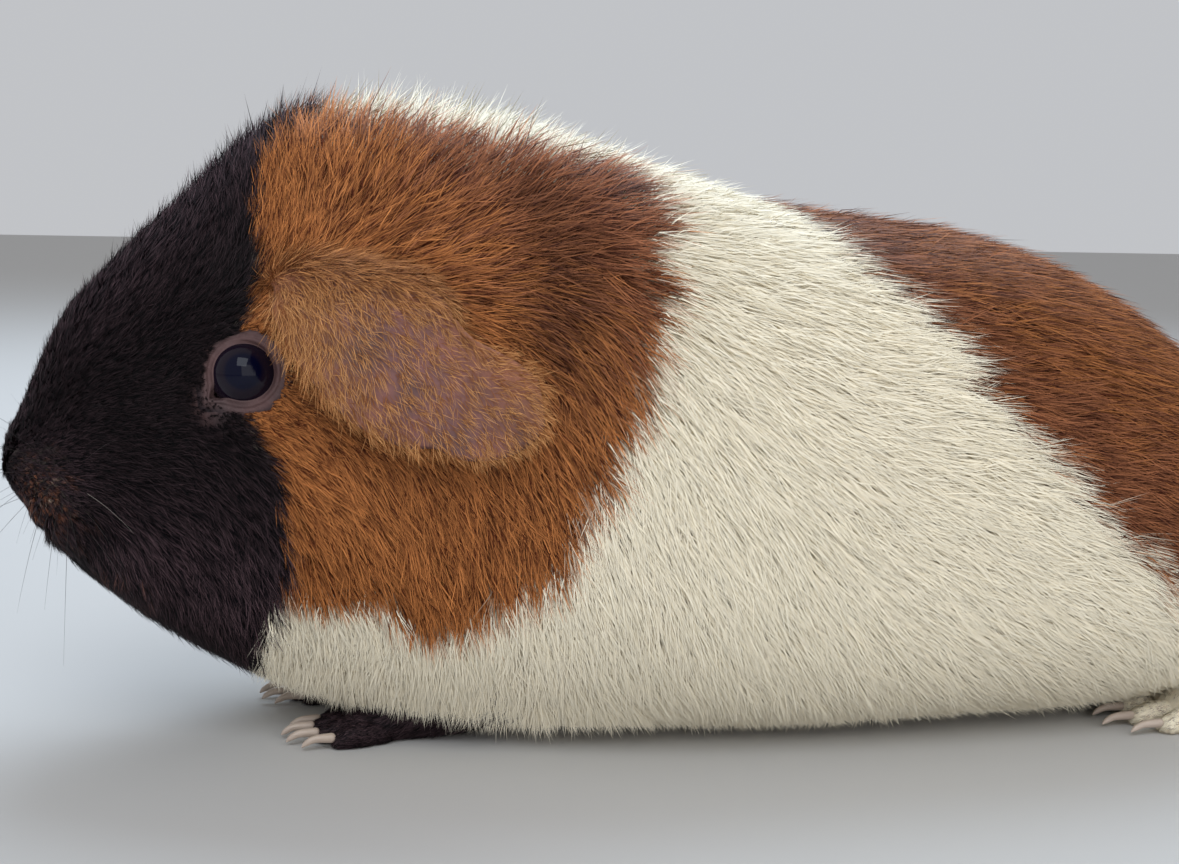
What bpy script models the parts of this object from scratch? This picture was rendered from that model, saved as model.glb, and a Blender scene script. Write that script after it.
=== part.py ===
"""A guinea pig lying on its belly, life size, as a still model.

The nose points along -Y, the animal's left side along +X and the floor is z = 0. Every
solid is the outline of the animal out to the tips of its coat. The body is one loft through
named stations, parted into nose, head, neck, trunk, rump and thighs by thin cuts. The ears,
eyes, forelegs, feet and claws are solids of their own, each a small gap from its neighbours.
"""

import math

import bmesh
import bpy
import numpy as np
from mathutils import Vector
from mathutils.bvhtree import BVHTree

MM = 0.001
GAP = 0.3                      # clear space between neighbouring solids, in millimetres
MIDDLE_Y = 130.5               # the origin, measured back from the point ahead of the nose
SIDES = (("left", 1.0), ("right", -1.0))

# Stations of the body, in millimetres, with y measured back from a point just ahead of the
# nose: top (y, z), bottom (y, z), half width, level of the widest place as a share of the
# height, and the powers of the upper and the lower half, where 2 is an ellipse.
STATIONS = (
    ("nose tip", (4.0, 47.5), (4.0, 47.5), 0.0, 0.50, 2.0, 2.0),
    ("nostrils", (4.6, 51.5), (4.7, 44.0), 5.0, 0.50, 2.0, 2.0),
    ("nose pad", (6.4, 56.0), (7.0, 40.5), 8.6, 0.48, 2.1, 2.1),
    ("lips", (9.6, 63.5), (10.6, 35.5), 12.0, 0.45, 2.1, 2.2),
    ("whisker pads", (14.6, 72.8), (15.0, 30.0), 15.6, 0.45, 2.1, 2.3),
    ("bridge", (22.8, 81.3), (21.0, 24.8), 19.2, 0.46, 2.1, 2.3),
    ("brow", (32.5, 91.0), (29.0, 18.5), 22.8, 0.48, 2.1, 2.2),
    ("eyes", (42.5, 101.5), (38.0, 13.0), 26.5, 0.46, 2.1, 2.2),
    ("crown", (51.0, 107.5), (48.0, 8.5), 29.5, 0.45, 2.2, 2.3),
    ("ears", (62.0, 109.5), (60.0, 4.5), 33.5, 0.44, 2.3, 2.4),
    ("crest", (76.0, 108.5), (75.0, 1.5), 38.0, 0.42, 2.3, 2.6),
    ("nape", (92.0, 105.0), (92.0, 0.0), 43.0, 0.41, 2.3, 2.7),
    ("withers", (110.0, 99.5), (110.0, -0.6), 47.5, 0.40, 2.2, 2.7),
    ("shoulders", (130.0, 94.0), (130.0, -1.0), 51.5, 0.40, 2.2, 2.8),
    ("ribs", (152.0, 91.0), (152.0, -1.0), 54.0, 0.39, 2.3, 2.8),
    ("loin", (174.0, 88.5), (174.0, -1.0), 55.0, 0.39, 2.3, 2.8),
    ("hips", (195.0, 82.5), (196.0, -1.0), 53.5, 0.39, 2.3, 2.8),
    ("haunches", (215.0, 72.0), (217.0, -0.6), 49.0, 0.39, 2.2, 2.7),
    ("rump", (233.0, 57.5), (235.0, 0.3), 40.0, 0.40, 2.1, 2.5),
    ("seat", (246.0, 43.5), (247.0, 4.0), 29.0, 0.42, 2.0, 2.3),
    ("seat end", (254.0, 32.5), (254.0, 10.0), 17.0, 0.50, 2.0, 2.0),
    ("rump end", (257.0, 21.0), (257.0, 21.0), 0.0, 0.50, 2.0, 2.0),
)
RINGS_PER_STATION = 2
BODY_SIDES = 26

# Soft swellings of the loft, on both sides: middle (x, y, z), reach and height.
SWELLINGS = (
    ("whisker pad", (11.0, 12.5, 42.0), 6.5, 1.3),
    ("brow", (18.5, 33.0, 77.0), 8.0, 1.0),
    ("cheek", (29.0, 49.0, 40.0), 13.0, 1.8),
    ("shoulder", (47.0, 104.0, 34.0), 20.0, 1.8),
    ("haunch", (52.0, 196.0, 34.0), 26.0, 2.6),
)

# Cuts across the body: where each meets the midline, high up and low down, as (y, z).
NOSE_CUT = ((9.2, 56.0), (9.2, 42.0))
HEAD_CUT = ((82.0, 108.0), (50.0, 8.0))
NECK_CUT = ((116.0, 98.0), (96.0, 0.0))
TRUNK_CUT = ((176.0, 88.0), (184.0, 0.0))

# The eyeball on the left side: its middle and radius.
EYE_MIDDLE = (21.4, 39.9, 63.7)
EYE_RADIUS = 5.7
EYE_FACETS = (14, 8)           # round the equator and from pole to pole

# The left ear, a drooping petal: its root along the side of the head from front to back, and
# its free edge from the front corner round the bottom to the rear lobe, as (y, z).
EAR_ROOT = ((43.5, 78.0), (46.5, 80.8), (50.5, 82.0), (55.0, 82.2), (60.0, 81.4), (64.4, 79.8), (68.0, 76.6))
EAR_EDGE = ((42.0, 74.5), (46.2, 66.0), (53.6, 57.8), (63.8, 53.4), (74.2, 52.8), (80.8, 57.2), (80.6, 64.8))
EAR_THICKNESS = 1.6
EAR_ROOT_CLEARANCE = 1.5       # from the side of the head to the middle of the petal
EAR_LIFT = 6.0                 # how much further the free edge stands off
EAR_BOW = 2.2                  # how far the petal bows outwards between root and edge
EAR_NOTCH = 3.6                # how deep the notch is in the rear edge
EAR_NOTCH_LEVEL, EAR_NOTCH_REACH = 0.42, 0.26
EAR_NOTCH_NARROWS = 6          # the power by which the notch fades towards the front of the ear
EAR_NOTCH_ENDS = 4             # the power by which it fades towards the free edge
EAR_STEPS, EAR_ROWS = 2, 6

# Limbs of the left side, as (x, y, z, half width, half height) along the limb.
FORELIMB = (
    (23.0, 90.5, 15.0, 6.0, 6.8),
    (21.2, 84.5, 12.2, 6.8, 7.4),
    (18.4, 78.5, 8.8, 6.0, 6.4),
    (15.6, 73.0, 5.9, 5.3, 5.3),
    (13.7, 68.5, 4.1, 5.2, 4.5),
    (12.8, 64.5, 3.1, 5.7, 3.9),
    (12.5, 61.5, 2.7, 5.8, 3.5),
)
WRIST_Y = 70.5
HINDFOOT = (
    (30.0, 238.0, 5.4, 4.4, 5.4),
    (32.6, 231.5, 4.6, 5.4, 5.2),
    (37.0, 221.0, 3.9, 5.8, 4.6),
    (41.2, 211.5, 3.3, 6.2, 4.0),
    (43.4, 207.0, 2.9, 5.8, 3.5),
)
LIMB_SIDES = 10
LIMB_CAP = (0.0, 0.5, 0.87)    # shares of the width that round off an end
SMALL_CAP = (0.0, 0.75)

# The thigh is what this ellipsoid takes out of the body.
THIGH_MIDDLE = (42.0, 205.0, 27.0)
THIGH_RADII = (21.0, 34.0, 31.0)
THIGH_FACETS = (20, 12)

# Toes across the front of a foot: offset sideways, length and half width.
FORE_TOES = ((-4.2, 5.2, 1.75), (-1.5, 7.0, 1.8), (1.5, 6.8, 1.8), (4.3, 4.8, 1.7))
HIND_TOES = ((-4.2, 7.4, 2.2), (0.0, 9.2, 2.3), (4.2, 7.0, 2.2))
TOE_SPREAD = 1.25              # how much wider the toes stand at their tips than at their roots
TOE_ROOT = 2.0                 # how far back inside the foot a toe starts
TOE_SIDES = 6
TOE_RISE, TOE_HALF_HEIGHT = 1.9, 2.2
TOE_KNUCKLE = 0.6              # how far along the toe its last joint is
TOE_TIP_SHARE = (0.8, 0.9, 0.8)  # the tip's rise, half width and half height as shares of the rest
FORE_CLAW, HIND_CLAW = 4.2, 5.2
CLAW_RADIUS, CLAW_TIP = 0.85, 0.32
CLAW_BEND, CLAW_BEND_SHARE = 0.5, 0.8  # how far along the claw bends, and its radius there as a share
CLAW_ROOT_RISE, CLAW_TIP_DROP = 0.5, 0.6
CLAW_SIDES = 6
FLOOR_SLAB = 60.0              # how deep the cutter under the floor reaches
SHARP_ANGLE = math.radians(50.0)

ORANGE = (0.42, 0.16, 0.06)
CREAM = (0.78, 0.72, 0.58)
BLACK_BROWN = (0.035, 0.022, 0.02)
EAR_PINK = (0.45, 0.24, 0.20)
HORN = (0.30, 0.24, 0.20)
EYE_BLACK = (0.01, 0.01, 0.014)
COAT_ROUGHNESS, SKIN_ROUGHNESS, HORN_ROUGHNESS, EYE_ROUGHNESS = 0.85, 0.6, 0.45, 0.05


def clear_scene():
    """Removes the objects a new file holds."""
    for old in list(bpy.data.objects):
        bpy.data.objects.remove(old, do_unlink=True)


def new_collection(name):
    """A collection linked to the scene."""
    made = bpy.data.collections.new(name)
    bpy.context.scene.collection.children.link(made)
    return made


def material(name, colour, roughness):
    """A plain non-metallic surface."""
    made = bpy.data.materials.new(name)
    made.use_nodes = True
    shader = made.node_tree.nodes["Principled BSDF"]
    shader.inputs["Base Color"].default_value = (*colour, 1.0)
    shader.inputs["Roughness"].default_value = roughness
    shader.inputs["Metallic"].default_value = 0.0
    return made


def metres(points):
    """Millimetres behind the measuring point, as metres from the origin."""
    return (np.asarray(points, float) - (0.0, MIDDLE_Y, 0.0)) * MM


def through(rows, steps):
    """A smooth curve through the rows (Catmull-Rom), in a number of steps from row to row."""
    rows = np.asarray(rows, float)
    padded = np.vstack([2.0 * rows[0] - rows[1], rows, 2.0 * rows[-1] - rows[-2]])
    t = np.linspace(0.0, len(rows) - 1.0, (len(rows) - 1) * steps + 1)
    i = np.minimum(t.astype(int), len(rows) - 2)
    f = (t - i)[:, None]
    a, b, c, d = padded[i], padded[i + 1], padded[i + 2], padded[i + 3]
    return b + 0.5 * f * (c - a + f * (2.0 * a - 5.0 * b + 4.0 * c - d + f * (3.0 * (b - c) + d - a)))


def finished(name, bm, home, surface):
    """An object from a bmesh in metres, shaded smooth where its form is smooth."""
    mesh = bpy.data.meshes.new(name)
    bm.to_mesh(mesh)
    bm.free()
    mesh.shade_smooth()
    mesh.set_sharp_from_angle(angle=SHARP_ANGLE)
    mesh.materials.append(surface)
    made = bpy.data.objects.new(name, mesh)
    home.objects.link(made)
    return made


def loft(rings):
    """A closed bmesh over rings of points. The first and the last ring are a single point each."""
    rings = metres(rings)
    bm = bmesh.new()
    start, end = bm.verts.new(rings[0][0]), bm.verts.new(rings[-1][0])
    verts = [[bm.verts.new(point) for point in ring] for ring in rings[1:-1]]
    count = len(verts[0])
    for j in range(count):
        k = (j + 1) % count
        bm.faces.new((start, verts[0][j], verts[0][k]))
        bm.faces.new((end, verts[-1][k], verts[-1][j]))
        for near, far in zip(verts, verts[1:]):
            bm.faces.new((near[j], far[j], far[k], near[k]))
    bmesh.ops.recalc_face_normals(bm, faces=bm.faces)
    return bm


def swollen(points, normals):
    """The points moved out along their normals by the swellings of both sides."""
    for _, (x, y, z), reach, height in SWELLINGS:
        for _, side in SIDES:
            away = np.linalg.norm(points - (side * x, y, z), axis=-1, keepdims=True)
            points = points + normals * height * np.exp(-((away / reach) ** 2))
    return points


def body_rings():
    """The rings of the body: a superellipse between the top and the bottom line of each."""
    rows = [(*top, *bottom, wide, level, up, down) for _, top, bottom, wide, level, up, down in STATIONS]
    line = through(rows, RINGS_PER_STATION)
    top, bottom, wide = line[:, 0:2], line[:, 2:4], np.maximum(line[:, 4:5], 0.0)
    widest = bottom + (top - bottom) * line[:, 5:6]
    turn = np.arange(BODY_SIDES) * 2.0 * math.pi / BODY_SIDES
    upper = np.cos(turn) >= 0.0
    power = 2.0 / np.where(upper, line[:, 6:7], line[:, 7:8])
    x = wide * np.sign(np.sin(turn)) * np.abs(np.sin(turn)) ** power
    rise = (np.abs(np.cos(turn)) ** power)[:, :, None]
    span = np.where(upper[None, :, None], (top - widest)[:, None], (bottom - widest)[:, None])
    rings = np.concatenate([x[:, :, None], widest[:, None] + rise * span], axis=2)
    around = np.roll(rings, -1, axis=1) - np.roll(rings, 1, axis=1)
    normals = np.cross(around, np.gradient(rings, axis=0))
    normals /= np.maximum(np.linalg.norm(normals, axis=-1, keepdims=True), MM)
    return swollen(rings, normals)


def limb_rings(path, sides, side, grow=0.0, steps=2, cap=LIMB_CAP):
    """Ellipses along a path of (x, y, z, half width, half height), rounded off at both ends."""
    path = through(path, steps)
    spine, wide, high = path[:, :3], path[:, 3] + grow, path[:, 4] + grow
    ahead = np.gradient(spine, axis=0)
    ahead /= np.linalg.norm(ahead, axis=1, keepdims=True)
    rows = [(p, w, h, a) for p, w, h, a in zip(spine, wide, high, ahead)]
    for share in reversed(cap):
        out = math.sqrt(1.0 - share**2)
        rows.insert(0, (spine[0] - ahead[0] * high[0] * out, wide[0] * share, high[0] * share, ahead[0]))
        rows.append((spine[-1] + ahead[-1] * high[-1] * out, wide[-1] * share, high[-1] * share, ahead[-1]))
    turn = np.arange(sides) * 2.0 * math.pi / sides
    rings = []
    for middle, w, h, forward in rows:
        across = np.cross(forward, (0.0, 0.0, 1.0))
        across /= np.linalg.norm(across)
        up = np.cross(across, forward)
        rings.append(middle + np.outer(np.cos(turn) * w, across) + np.outer(np.sin(turn) * h, up))
    return np.array(rings) * (side, 1.0, 1.0)


def slice_away(bm, point, normal):
    """Cuts off what lies on the normal's side of a plane, in millimetres, and closes the cut."""
    everything = list(bm.verts) + list(bm.edges) + list(bm.faces)
    bmesh.ops.bisect_plane(
        bm, geom=everything, plane_co=Vector(metres(point)), plane_no=Vector(normal), clear_outer=True
    )
    rim = [edge for edge in bm.edges if edge.is_boundary]
    bmesh.ops.holes_fill(bm, edges=rim)
    bmesh.ops.recalc_face_normals(bm, faces=bm.faces)


def cut_plane(cut, behind):
    """A cut as a point half a gap to one side of it, and the normal towards what goes."""
    (high_y, high_z), (low_y, low_z) = cut
    normal = np.array((0.0, high_z - low_z, low_y - high_y))
    normal *= (-1.0 if behind else 1.0) / np.linalg.norm(normal)
    return np.array((0.0, low_y, low_z)) - normal * GAP / 2.0, normal


def body_piece(name, front_cut, rear_cut, home, surface):
    """The part of the body between two cuts, or to its end where there is none, above the floor."""
    bm = loft(body_rings())
    if front_cut:
        slice_away(bm, *cut_plane(front_cut, behind=True))
    if rear_cut:
        slice_away(bm, *cut_plane(rear_cut, behind=False))
    slice_away(bm, (0.0, 0.0, 0.0), (0.0, 0.0, -1.0))
    return finished(name, bm, home, surface)


def ball(name, middle, radii, facets, home, surface):
    """A sphere or an ellipsoid at its place."""
    bm = bmesh.new()
    bmesh.ops.create_uvsphere(bm, u_segments=facets[0], v_segments=facets[1], radius=1.0)
    bmesh.ops.scale(bm, vec=Vector(radii) * MM, verts=bm.verts)
    made = finished(name, bm, home, surface)
    made.location = metres(middle)
    return made


def boolean(target, other, operation):
    """Adds a Boolean modifier, exact, to the target."""
    step = target.modifiers.new(f"{operation.lower()} {other.name}", "BOOLEAN")
    step.operation = operation
    step.object = other
    step.solver = "EXACT"


def as_cutter(tool):
    """Keeps a tool out of the model's own solids."""
    tool.hide_render = True
    tool.display_type = "WIRE"
    return tool


def ear(name, side, skin_tree, home, surface):
    """A petal bowed outwards over the side of the head, from its root to its free edge."""
    root, edge = through(EAR_ROOT, EAR_STEPS), through(EAR_EDGE, EAR_STEPS)
    columns = len(root)
    down = np.linspace(0.0, 1.0, EAR_ROWS)
    yz = root[None] + (edge - root)[None] * down[:, None, None]
    rearward = np.linspace(0.0, 1.0, columns) ** EAR_NOTCH_NARROWS
    depth = EAR_NOTCH * np.exp(-(((down - EAR_NOTCH_LEVEL) / EAR_NOTCH_REACH) ** 2))
    yz[..., 0] -= depth[:, None] * rearward * (1.0 - down[:, None] ** EAR_NOTCH_ENDS)
    head_x = np.array([[side_of_body(skin_tree, *place) for place in row] for row in yz])
    stand_off = EAR_ROOT_CLEARANCE + EAR_LIFT * down + EAR_BOW * np.sin(math.pi * down)
    straight = head_x[0] + (head_x[-1] - head_x[0]) * down[:, None]
    x = np.maximum(straight + stand_off[:, None], head_x + EAR_ROOT_CLEARANCE)
    sheet = metres(np.dstack([side * x, yz[..., 0], yz[..., 1]]))
    bm = bmesh.new()
    verts = [[bm.verts.new(point) for point in row] for row in sheet]
    for upper, lower in zip(verts, verts[1:]):
        for j in range(columns - 1):
            bm.faces.new((upper[j], lower[j], lower[j + 1], upper[j + 1]))
    bmesh.ops.recalc_face_normals(bm, faces=bm.faces)
    made = finished(name, bm, home, surface)
    shell = made.modifiers.new("thickness", "SOLIDIFY")
    shell.thickness = EAR_THICKNESS * MM
    shell.offset = 0.0
    return made


def side_of_body(skin_tree, y, z):
    """How far the body's left side lies from the midline at a height and a place along it."""
    start = metres((2.0 * MIDDLE_Y, y, z))
    place = skin_tree.ray_cast(Vector(start), Vector((-1.0, 0.0, 0.0)))[0]
    return place.x / MM


def toe_path(front, offset, length, half_width):
    """A toe from inside the front of the foot out to its tip."""
    x, y, _, _, _ = front
    rise, wide, high = TOE_TIP_SHARE
    tip_x = x + offset * TOE_SPREAD
    return (
        (x + offset, y + TOE_ROOT, TOE_RISE, half_width, TOE_HALF_HEIGHT),
        (tip_x, y - length * TOE_KNUCKLE, TOE_RISE, half_width, TOE_HALF_HEIGHT),
        (tip_x, y - length, TOE_RISE * rise, half_width * wide, TOE_HALF_HEIGHT * high),
    )


def claw_path(toe, length):
    """A claw from just ahead of a toe's tip, bending down towards the floor."""
    x, y, z, _, half_height = toe[-1]
    y -= half_height + GAP + CLAW_RADIUS
    high, thin = z + CLAW_ROOT_RISE, CLAW_RADIUS * CLAW_BEND_SHARE
    return (
        (x, y, high, CLAW_RADIUS, CLAW_RADIUS),
        (x, y - length * CLAW_BEND, high, thin, thin),
        (x, y - length, z - CLAW_TIP_DROP, CLAW_TIP, CLAW_TIP),
    )


def add_toes(foot, front, toes, claw_length, side, stage):
    """Joins the toes to a foot and sets a claw ahead of each."""
    for number, (offset, length, half_width) in enumerate(toes, start=1):
        path = toe_path(front, offset, length, half_width)
        toe_form = loft(limb_rings(path, TOE_SIDES, side, steps=1, cap=SMALL_CAP))
        toe = finished(f"{foot.name}_toe_{number}", toe_form, stage.tools, stage.horn)
        boolean(foot, as_cutter(toe), "UNION")
        claw = limb_rings(claw_path(path, claw_length), CLAW_SIDES, side, steps=1, cap=SMALL_CAP)
        finished(f"{foot.name}_claw_{number}", loft(claw), stage.parts, stage.horn)
    boolean(foot, stage.floor, "DIFFERENCE")


class Stage:
    """The collections and surfaces that the parts are made with."""

    def __init__(self):
        self.parts = new_collection("guinea_pig")
        self.tools = new_collection("cutters")
        self.orange = material("orange_coat", ORANGE, COAT_ROUGHNESS)
        self.cream = material("cream_coat", CREAM, COAT_ROUGHNESS)
        self.black = material("black_coat", BLACK_BROWN, COAT_ROUGHNESS)
        self.ear_skin = material("ear_skin", EAR_PINK, SKIN_ROUGHNESS)
        self.horn = material("claw_horn", HORN, HORN_ROUGHNESS)
        self.eye = material("eye_gloss", EYE_BLACK, EYE_ROUGHNESS)
        bm = bmesh.new()
        bmesh.ops.create_cube(bm, size=1.0)
        bmesh.ops.scale(bm, vec=Vector((4.0 * MIDDLE_Y, 4.0 * MIDDLE_Y, FLOOR_SLAB)) * MM, verts=bm.verts)
        bmesh.ops.translate(bm, vec=Vector((0.0, 0.0, -FLOOR_SLAB / 2.0)) * MM, verts=bm.verts)
        self.floor = as_cutter(finished("floor_cutter", bm, self.tools, self.cream))


def main():
    clear_scene()
    stage = Stage()
    home, tools = stage.parts, stage.tools
    body_piece("nose", None, NOSE_CUT, home, stage.black)
    head = body_piece("head", NOSE_CUT, HEAD_CUT, home, stage.black)
    neck = body_piece("neck", HEAD_CUT, NECK_CUT, home, stage.orange)
    trunk = body_piece("trunk", NECK_CUT, TRUNK_CUT, home, stage.cream)
    rump = body_piece("rump", TRUNK_CUT, None, home, stage.orange)
    whole = loft(body_rings())
    skin_tree = BVHTree.FromBMesh(whole)
    whole.free()

    for side_name, side in SIDES:
        mirrored = Vector((side, 1.0, 1.0))
        eye_place = Vector(EYE_MIDDLE) * mirrored
        ball(f"eye_{side_name}", eye_place, [EYE_RADIUS] * 3, EYE_FACETS, home, stage.eye)
        socket = ball(f"socket_{side_name}", eye_place, [EYE_RADIUS + GAP] * 3, EYE_FACETS, tools, stage.eye)
        boolean(head, as_cutter(socket), "DIFFERENCE")
        ear(f"ear_{side_name}", side, skin_tree, home, stage.ear_skin)

        upper = loft(limb_rings(FORELIMB, LIMB_SIDES, side))
        slice_away(upper, (0.0, WRIST_Y + GAP / 2.0, 0.0), (0.0, -1.0, 0.0))
        foreleg = finished(f"foreleg_{side_name}", upper, home, stage.cream)
        boolean(foreleg, stage.floor, "DIFFERENCE")
        lower = loft(limb_rings(FORELIMB, LIMB_SIDES, side))
        slice_away(lower, (0.0, WRIST_Y - GAP / 2.0, 0.0), (0.0, 1.0, 0.0))
        forefoot = finished(f"forefoot_{side_name}", lower, home, stage.black)
        add_toes(forefoot, FORELIMB[-1], FORE_TOES, FORE_CLAW, side, stage)
        around_leg = loft(limb_rings(FORELIMB, LIMB_SIDES, side, grow=GAP))
        leg_room = as_cutter(finished(f"leg_room_{side_name}", around_leg, tools, stage.cream))
        boolean(head, leg_room, "DIFFERENCE")
        boolean(neck, leg_room, "DIFFERENCE")

        thigh_place = Vector(THIGH_MIDDLE) * mirrored
        hindleg = body_piece(f"hindleg_{side_name}", None, None, home, stage.cream)
        thigh = ball(f"thigh_{side_name}", thigh_place, THIGH_RADII, THIGH_FACETS, tools, stage.cream)
        boolean(hindleg, as_cutter(thigh), "INTERSECT")
        room_radii = [radius + GAP for radius in THIGH_RADII]
        room = ball(f"thigh_room_{side_name}", thigh_place, room_radii, THIGH_FACETS, tools, stage.cream)
        foot = loft(limb_rings(HINDFOOT, LIMB_SIDES, side))
        hindfoot = finished(f"hindfoot_{side_name}", foot, home, stage.ear_skin)
        add_toes(hindfoot, HINDFOOT[-1], HIND_TOES, HIND_CLAW, side, stage)
        around_foot = loft(limb_rings(HINDFOOT, LIMB_SIDES, side, grow=GAP))
        foot_room = as_cutter(finished(f"foot_room_{side_name}", around_foot, tools, stage.cream))
        for piece in (trunk, rump):
            boolean(piece, as_cutter(room), "DIFFERENCE")
            boolean(piece, foot_room, "DIFFERENCE")
        boolean(hindleg, foot_room, "DIFFERENCE")

    frame = bpy.data.objects.new("guinea_pig_frame", None)
    pieces = list(home.objects)
    home.objects.link(frame)
    for piece in pieces:
        piece.parent = frame
    print(f"{len(pieces)} parts under {frame.name}")


main()
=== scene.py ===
# %% [markdown]
# # A guinea pig, life size
#
# A short-haired guinea pig rests on its belly: a black face, an orange head and neck, a cream
# body with a red-brown saddle, and a tall crest of hair on its crown. The construction model
# gives the outline out to the tips of the hair. This script puts a skin inside that outline and
# grows a coat of tufts on it, so the hair fills the room between the two.

import math

import bmesh
import bpy
import numpy as np
from mathutils import Matrix, Vector


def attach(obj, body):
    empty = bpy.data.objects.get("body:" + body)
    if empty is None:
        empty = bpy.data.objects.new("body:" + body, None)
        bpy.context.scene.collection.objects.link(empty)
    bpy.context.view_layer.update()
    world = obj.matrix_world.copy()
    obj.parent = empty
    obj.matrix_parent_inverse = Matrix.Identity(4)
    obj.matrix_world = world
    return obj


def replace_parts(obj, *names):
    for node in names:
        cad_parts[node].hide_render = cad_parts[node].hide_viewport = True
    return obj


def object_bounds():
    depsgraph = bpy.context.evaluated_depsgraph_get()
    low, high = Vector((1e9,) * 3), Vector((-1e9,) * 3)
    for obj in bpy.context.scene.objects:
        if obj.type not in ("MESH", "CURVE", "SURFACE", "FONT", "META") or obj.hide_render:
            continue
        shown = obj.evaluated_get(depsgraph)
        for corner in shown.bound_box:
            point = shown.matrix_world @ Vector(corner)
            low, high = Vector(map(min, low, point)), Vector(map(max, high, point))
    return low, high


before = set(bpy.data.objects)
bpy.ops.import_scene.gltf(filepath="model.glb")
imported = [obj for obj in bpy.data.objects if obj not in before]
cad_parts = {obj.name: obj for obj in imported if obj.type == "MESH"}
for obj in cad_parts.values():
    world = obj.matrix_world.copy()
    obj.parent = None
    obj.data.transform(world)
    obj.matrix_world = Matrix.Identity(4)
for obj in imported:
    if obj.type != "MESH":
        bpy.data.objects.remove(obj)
CAD_BOX = [list(corner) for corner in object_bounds()]
MM = 0.001
NOSE_Y = 4.0                                   # the nose tip, in the measure used below
MIDDLE_Y = NOSE_Y - CAD_BOX[0][1] / MM         # the frame's origin in the same measure
SIDES = (("left", 1.0), ("right", -1.0))
CHANCE = np.random.default_rng(70)
print("the model's box in mm:", np.round(np.array(CAD_BOX) / MM, 1).tolist())

# %% [markdown]
# ## The camera
#
# The animal is seen from its left side, from close by and a little ahead of its middle, so the
# head is large and the rump runs away to the right. A close camera needs its real place: moving
# it back and using a longer lens would flatten the head against the body.

# %% The camera
EYE_LEVEL = (0.2819, -0.1277, 0.0921)
TURNED_BACK, LOOKS_DOWN, ROLLED = (math.radians(angle) for angle in (20.0, 8.0, 1.5))
SENSOR_MM, LENS_MM = 36.0, 50.38


def aimed(place, turn, pitch, roll):
    """The matrix of a camera at a place that looks along -X, turned towards +Y, down, and rolled."""
    ahead = Vector((-math.cos(turn) * math.cos(pitch), math.sin(turn) * math.cos(pitch), -math.sin(pitch)))
    level = ahead.cross(Vector((0.0, 0.0, 1.0))).normalized()
    right = level * math.cos(roll) + level.cross(ahead) * math.sin(roll)
    up = right.cross(ahead)
    return Matrix.Translation(place) @ Matrix((right, up, -ahead)).transposed().to_4x4()


camera = bpy.data.objects.new("camera", bpy.data.cameras.new("camera"))
bpy.context.scene.collection.objects.link(camera)
camera.data.sensor_width = SENSOR_MM
camera.data.lens = LENS_MM
camera.data.clip_start = 0.01
camera.matrix_world = aimed(EYE_LEVEL, TURNED_BACK, LOOKS_DOWN, ROLLED)
bpy.context.scene.camera = camera
print("the camera stands", round(camera.location.x, 3), "m out from the midline")

# %% [markdown]
# ## The outline of the body
#
# From the nose to the rump the animal is one smooth form, so its outline is a loft: rings that
# follow each other along the body. Each ring is a superellipse between a top and a bottom point,
# and a smooth curve runs through the stations. The same few stations gave the solids, so the skin
# fits them without any fitting.

# %% Stations of the body
# top (y, z), bottom (y, z), half width, level of the widest place, powers of upper and lower half
STATIONS = np.array((
    (4.0, 47.5, 4.0, 47.5, 0.0, 0.50, 2.0, 2.0),       # nose tip
    (4.6, 51.5, 4.7, 44.0, 5.0, 0.50, 2.0, 2.0),       # nostrils
    (6.4, 56.0, 7.0, 40.5, 8.6, 0.48, 2.1, 2.1),       # nose pad
    (9.6, 63.5, 10.6, 35.5, 12.0, 0.45, 2.1, 2.2),     # lips
    (14.6, 72.8, 15.0, 30.0, 15.6, 0.45, 2.1, 2.3),    # whisker pads
    (22.8, 81.3, 21.0, 24.8, 19.2, 0.46, 2.1, 2.3),    # bridge
    (32.5, 91.0, 29.0, 18.5, 22.8, 0.48, 2.1, 2.2),    # brow
    (42.5, 101.5, 38.0, 13.0, 26.5, 0.46, 2.1, 2.2),   # eyes
    (51.0, 107.5, 48.0, 8.5, 29.5, 0.45, 2.2, 2.3),    # crown
    (62.0, 109.5, 60.0, 4.5, 33.5, 0.44, 2.3, 2.4),    # ears
    (76.0, 108.5, 75.0, 1.5, 38.0, 0.42, 2.3, 2.6),    # crest
    (92.0, 105.0, 92.0, 0.0, 43.0, 0.41, 2.3, 2.7),    # nape
    (110.0, 99.5, 110.0, -0.6, 47.5, 0.40, 2.2, 2.7),  # withers
    (130.0, 94.0, 130.0, -1.0, 51.5, 0.40, 2.2, 2.8),  # shoulders
    (152.0, 91.0, 152.0, -1.0, 54.0, 0.39, 2.3, 2.8),  # ribs
    (174.0, 88.5, 174.0, -1.0, 55.0, 0.39, 2.3, 2.8),  # loin
    (195.0, 82.5, 196.0, -1.0, 53.5, 0.39, 2.3, 2.8),  # hips
    (215.0, 72.0, 217.0, -0.6, 49.0, 0.39, 2.2, 2.7),  # haunches
    (233.0, 57.5, 235.0, 0.3, 40.0, 0.40, 2.1, 2.5),   # rump
    (246.0, 43.5, 247.0, 4.0, 29.0, 0.42, 2.0, 2.3),   # seat
    (254.0, 32.5, 254.0, 10.0, 17.0, 0.50, 2.0, 2.0),  # seat end
    (257.0, 21.0, 257.0, 21.0, 0.0, 0.50, 2.0, 2.0),   # rump end
))
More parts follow.
